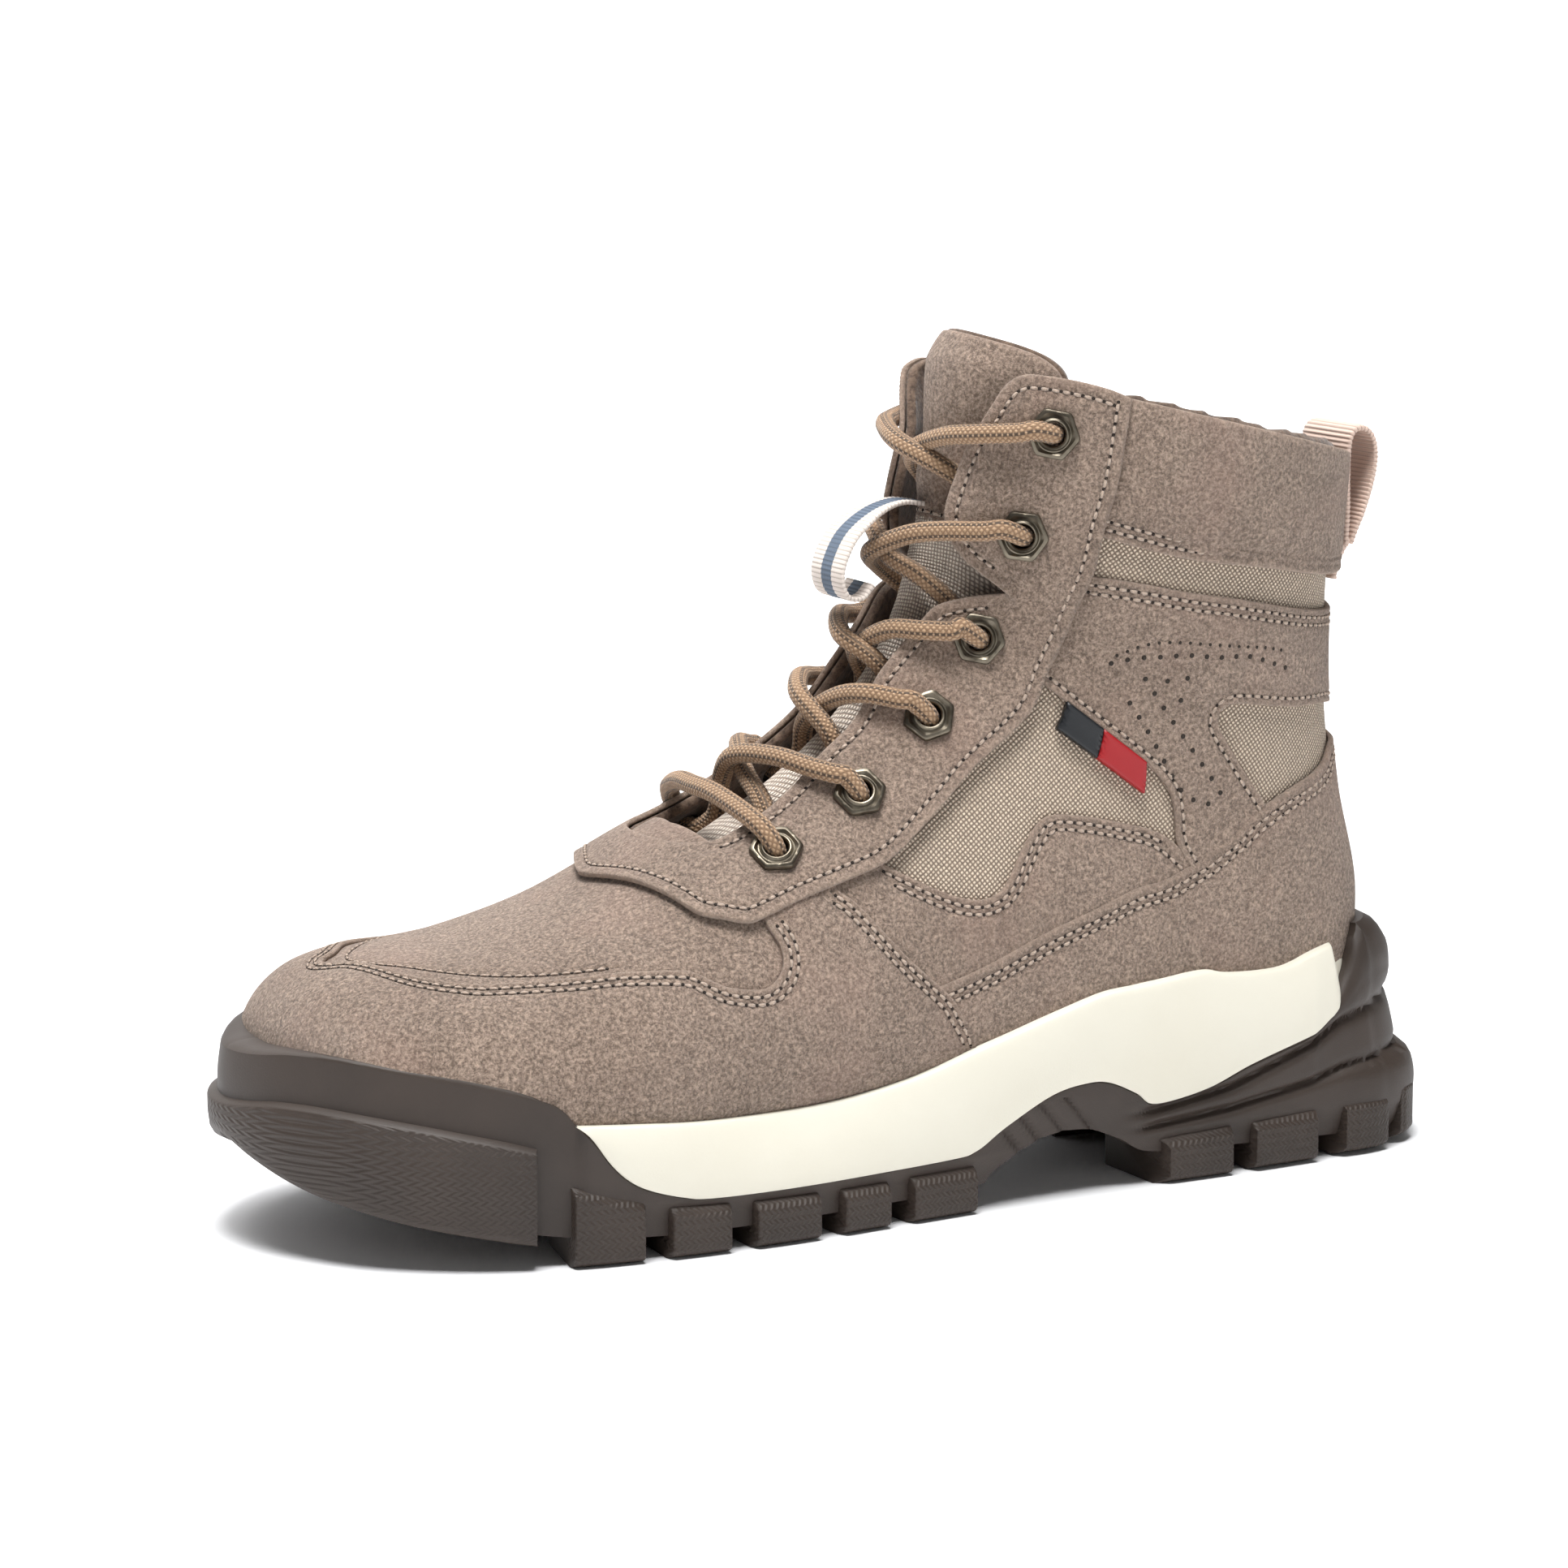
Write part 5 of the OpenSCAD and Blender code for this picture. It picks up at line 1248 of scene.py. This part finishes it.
# where each pair of strands crosses the middle, and the side whose strand is on top there
CROSSINGS = [(7.2, 1), (8.2, -1), (9.15, -1), (10.75, 1), (13.1, -1)]
BAR = [(6.78, 33.5, 4.9), (6.75, 26, 4.9), (6.72, 12, 4.3), (6.7, 0, 4.1)]
TUCKED = [(14.2, 49, 2), (14.2, 49, -1.6), (14.18, 54, -5.6), (14, 61, -8.8), (13.6, 68, -9.8),
          (13, 74, -9.8), (12.4, 78, -9.8), (11.9, 80, -9.8)]


def sided(points, side):
    return [(t, side * a, h) for t, a, h in points]


def strand(n, side):
    """From one eyelet in and round the throat's edge, over the middle and out to the next eyelet opposite."""
    (t0, a0), (t1, a1), (mid, top) = EYELETS[n], EYELETS[n + 1], CROSSINGS[n]
    edge, rim = straight_table(THROAT, t0 + 0.15), straight_table(THROAT, t1 - 0.3)
    high = 4.4 if top == -side else -0.6
    below, above = mid - t0, t1 - mid
    points = [(t0, a0, 2), (t0, a0, -1.6), (t0 + 0.02, a0 - 4.5, -5.6),
              (t0 + below * 0.25, (a0 + edge) / 2, LACE_IN), (t0 + below * 0.45, edge + 1, LACE_IN + 0.2),
              (t0 + below * 0.7, edge * 0.6, (high + LACE_IN) * 0.45), (mid, 0, high),
              (mid + above * 0.35, -rim * 0.65, (high + 4.4) / 2 + 0.4), (mid + above * 0.6, -rim - 2, 4.7),
              (mid + above * 0.85, -(rim + (a1 - rim) * 0.6), 5.1), (t1 - 0.03, -a1 + 4.5, 4.9)]
    return sided(points, side)


def half_lace(side):
    strands = [strand(n, side if n % 2 == 0 else -side) for n in range(len(CROSSINGS))]
    return sum(strands, []) + sided(TUCKED, -side)


def cord(name, line, body, finish, nodes, spacing=0.55):
    """A round braided cord along a line of points."""
    s = run(line)
    at = np.linspace(0, s[-1], int(s[-1] / spacing))
    line = at_lengths(line, s, at)
    for _ in range(3):
        line[1:-1] = (line[:-2] + 2 * line[1:-1] + line[2:]) / 4
    way = unit(np.gradient(line, axis=0))
    u = unit(np.cross(way[0], [0.3, 0.5, 0.8]))
    turn = np.arange(LACE_SIDES) * 2 * math.pi / LACE_SIDES
    rows = []
    for p, ahead, length in zip(line, way, at * 2 * math.pi / BRAID_PITCH):
        u = unit(u - ahead * (u @ ahead))
        v = np.cross(ahead, u)
        r = LACE_RADIUS + BRAID * np.sin(length + turn * 4) * np.sin(length - turn * 4)
        rows.append(p + r[:, None] * (np.cos(turn)[:, None] * u + np.sin(turn)[:, None] * v))
    lengths, turns = np.meshgrid(at, turn / (2 * math.pi), indexing="ij")
    tube(name, rows, body, finish, nodes, uv=np.stack([lengths, turns], -1))


route = np.array(half_lace(1)[::-1] + BAR + sided(BAR[:3][::-1], -1) + half_lace(-1))
cord("lace_cord", smooth(skin(*route.T), 14), "root", LACE, ["lace"])

# ---------------------------------------------------------------- CAD nodes that keep their shape
KEPT = {"puncture_plate": STEEL, "insole_board": BOARD, "footbed": SOCK, "toe_cap": STEEL,
        "toe_cap_edge_strip": TAPE, "heel_stiffener": COUNTER, "vamp_lining": LINING,
        "quarter_lining_lateral": LINING, "quarter_lining_medial": LINING, "lace_aglets": AGLET,
        "tongue_foam": FOAM}
for key, finish in KEPT.items():
    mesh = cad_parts[key].data
    mesh.materials.clear()
    mesh.materials.append(finish)


# ---------------------------------------------------------------- floor, light and camera
def area(name, place, aim, size, power):
    data = bpy.data.lights.new(name, "AREA")
    data.shape = "RECTANGLE"
    data.size, data.size_y = size
    data.energy = power
    stand(name, data, Vector(place), Vector(aim))


def stand(name, data, place, aim):
    """A lamp or camera in the scene, turned to a point."""
    ob = bpy.data.objects.new(name, data)
    ob.location = place
    ob.rotation_euler = (aim - place).to_track_quat("-Z", "Y").to_euler()
    bpy.context.scene.collection.objects.link(ob)
    return ob


def paper(name):
    """White paper that glows a little away from the middle, and so stays white out of the lamps' reach."""
    look = Look(name, 0.7)
    away = look.node("VectorMath", {0: look.place}, operation="LENGTH")["Value"]
    glow = look.ramp(look.times(away, 0.5), (0.22, (0, 0, 0)), (0.6, (0.8, 0.8, 0.8)))
    look.tree.links.new(glow, look.shader.inputs["Emission Color"])
    look.shader.inputs["Emission Strength"].default_value = 1.0
    colour = look.blotches((0.915, 0.92, 0.935), (0.93, 0.935, 0.945), 3.0)
    return look.done(colour, look.noise(300.0, 3), 0.00001, 0.6)


bpy.ops.mesh.primitive_plane_add(size=16, location=(0, 0, 0))
floor = bpy.context.object
floor.name = "floor"
upright = (math.radians(90), 0, math.radians(-24.5))
bpy.ops.mesh.primitive_plane_add(size=16, location=(3.5, -7.5, 6), rotation=upright)
backdrop = bpy.context.object
backdrop.name = "backdrop"
PAPER = paper("white_paper")
for sheet in (floor, backdrop):
    sheet.data.materials.append(PAPER)

world = bpy.data.worlds.new("studio")
world.use_nodes = True
world.node_tree.nodes["Background"].inputs["Color"].default_value = (1, 1, 1, 1)
world.node_tree.nodes["Background"].inputs["Strength"].default_value = 0.11
bpy.context.scene.world = world
area("key", (0.2, 0.35, 1.85), (0, 0, 0.08), (0.7, 0.7), 42)
area("side", (-0.3, 1.7, 0.5), (-0.05, 0, 0.08), (1.4, 0.9), 3.0)
area("top", (0.1, -0.4, 1.7), (0, 0, 0.05), (1.4, 1.4), 24)

camera = bpy.data.cameras.new("camera")
camera.lens = 109.4
camera.sensor_width = 36
camera.clip_start = 0.01
view = stand("camera", camera, Vector((0.4632, 0.9872, 0.2759)), Vector((0.0133, 0, 0.0943)))
view.rotation_euler.rotate_axis("Z", math.radians(-0.2))
bpy.context.scene.camera = view
bpy.context.scene.view_settings.view_transform = "Standard"
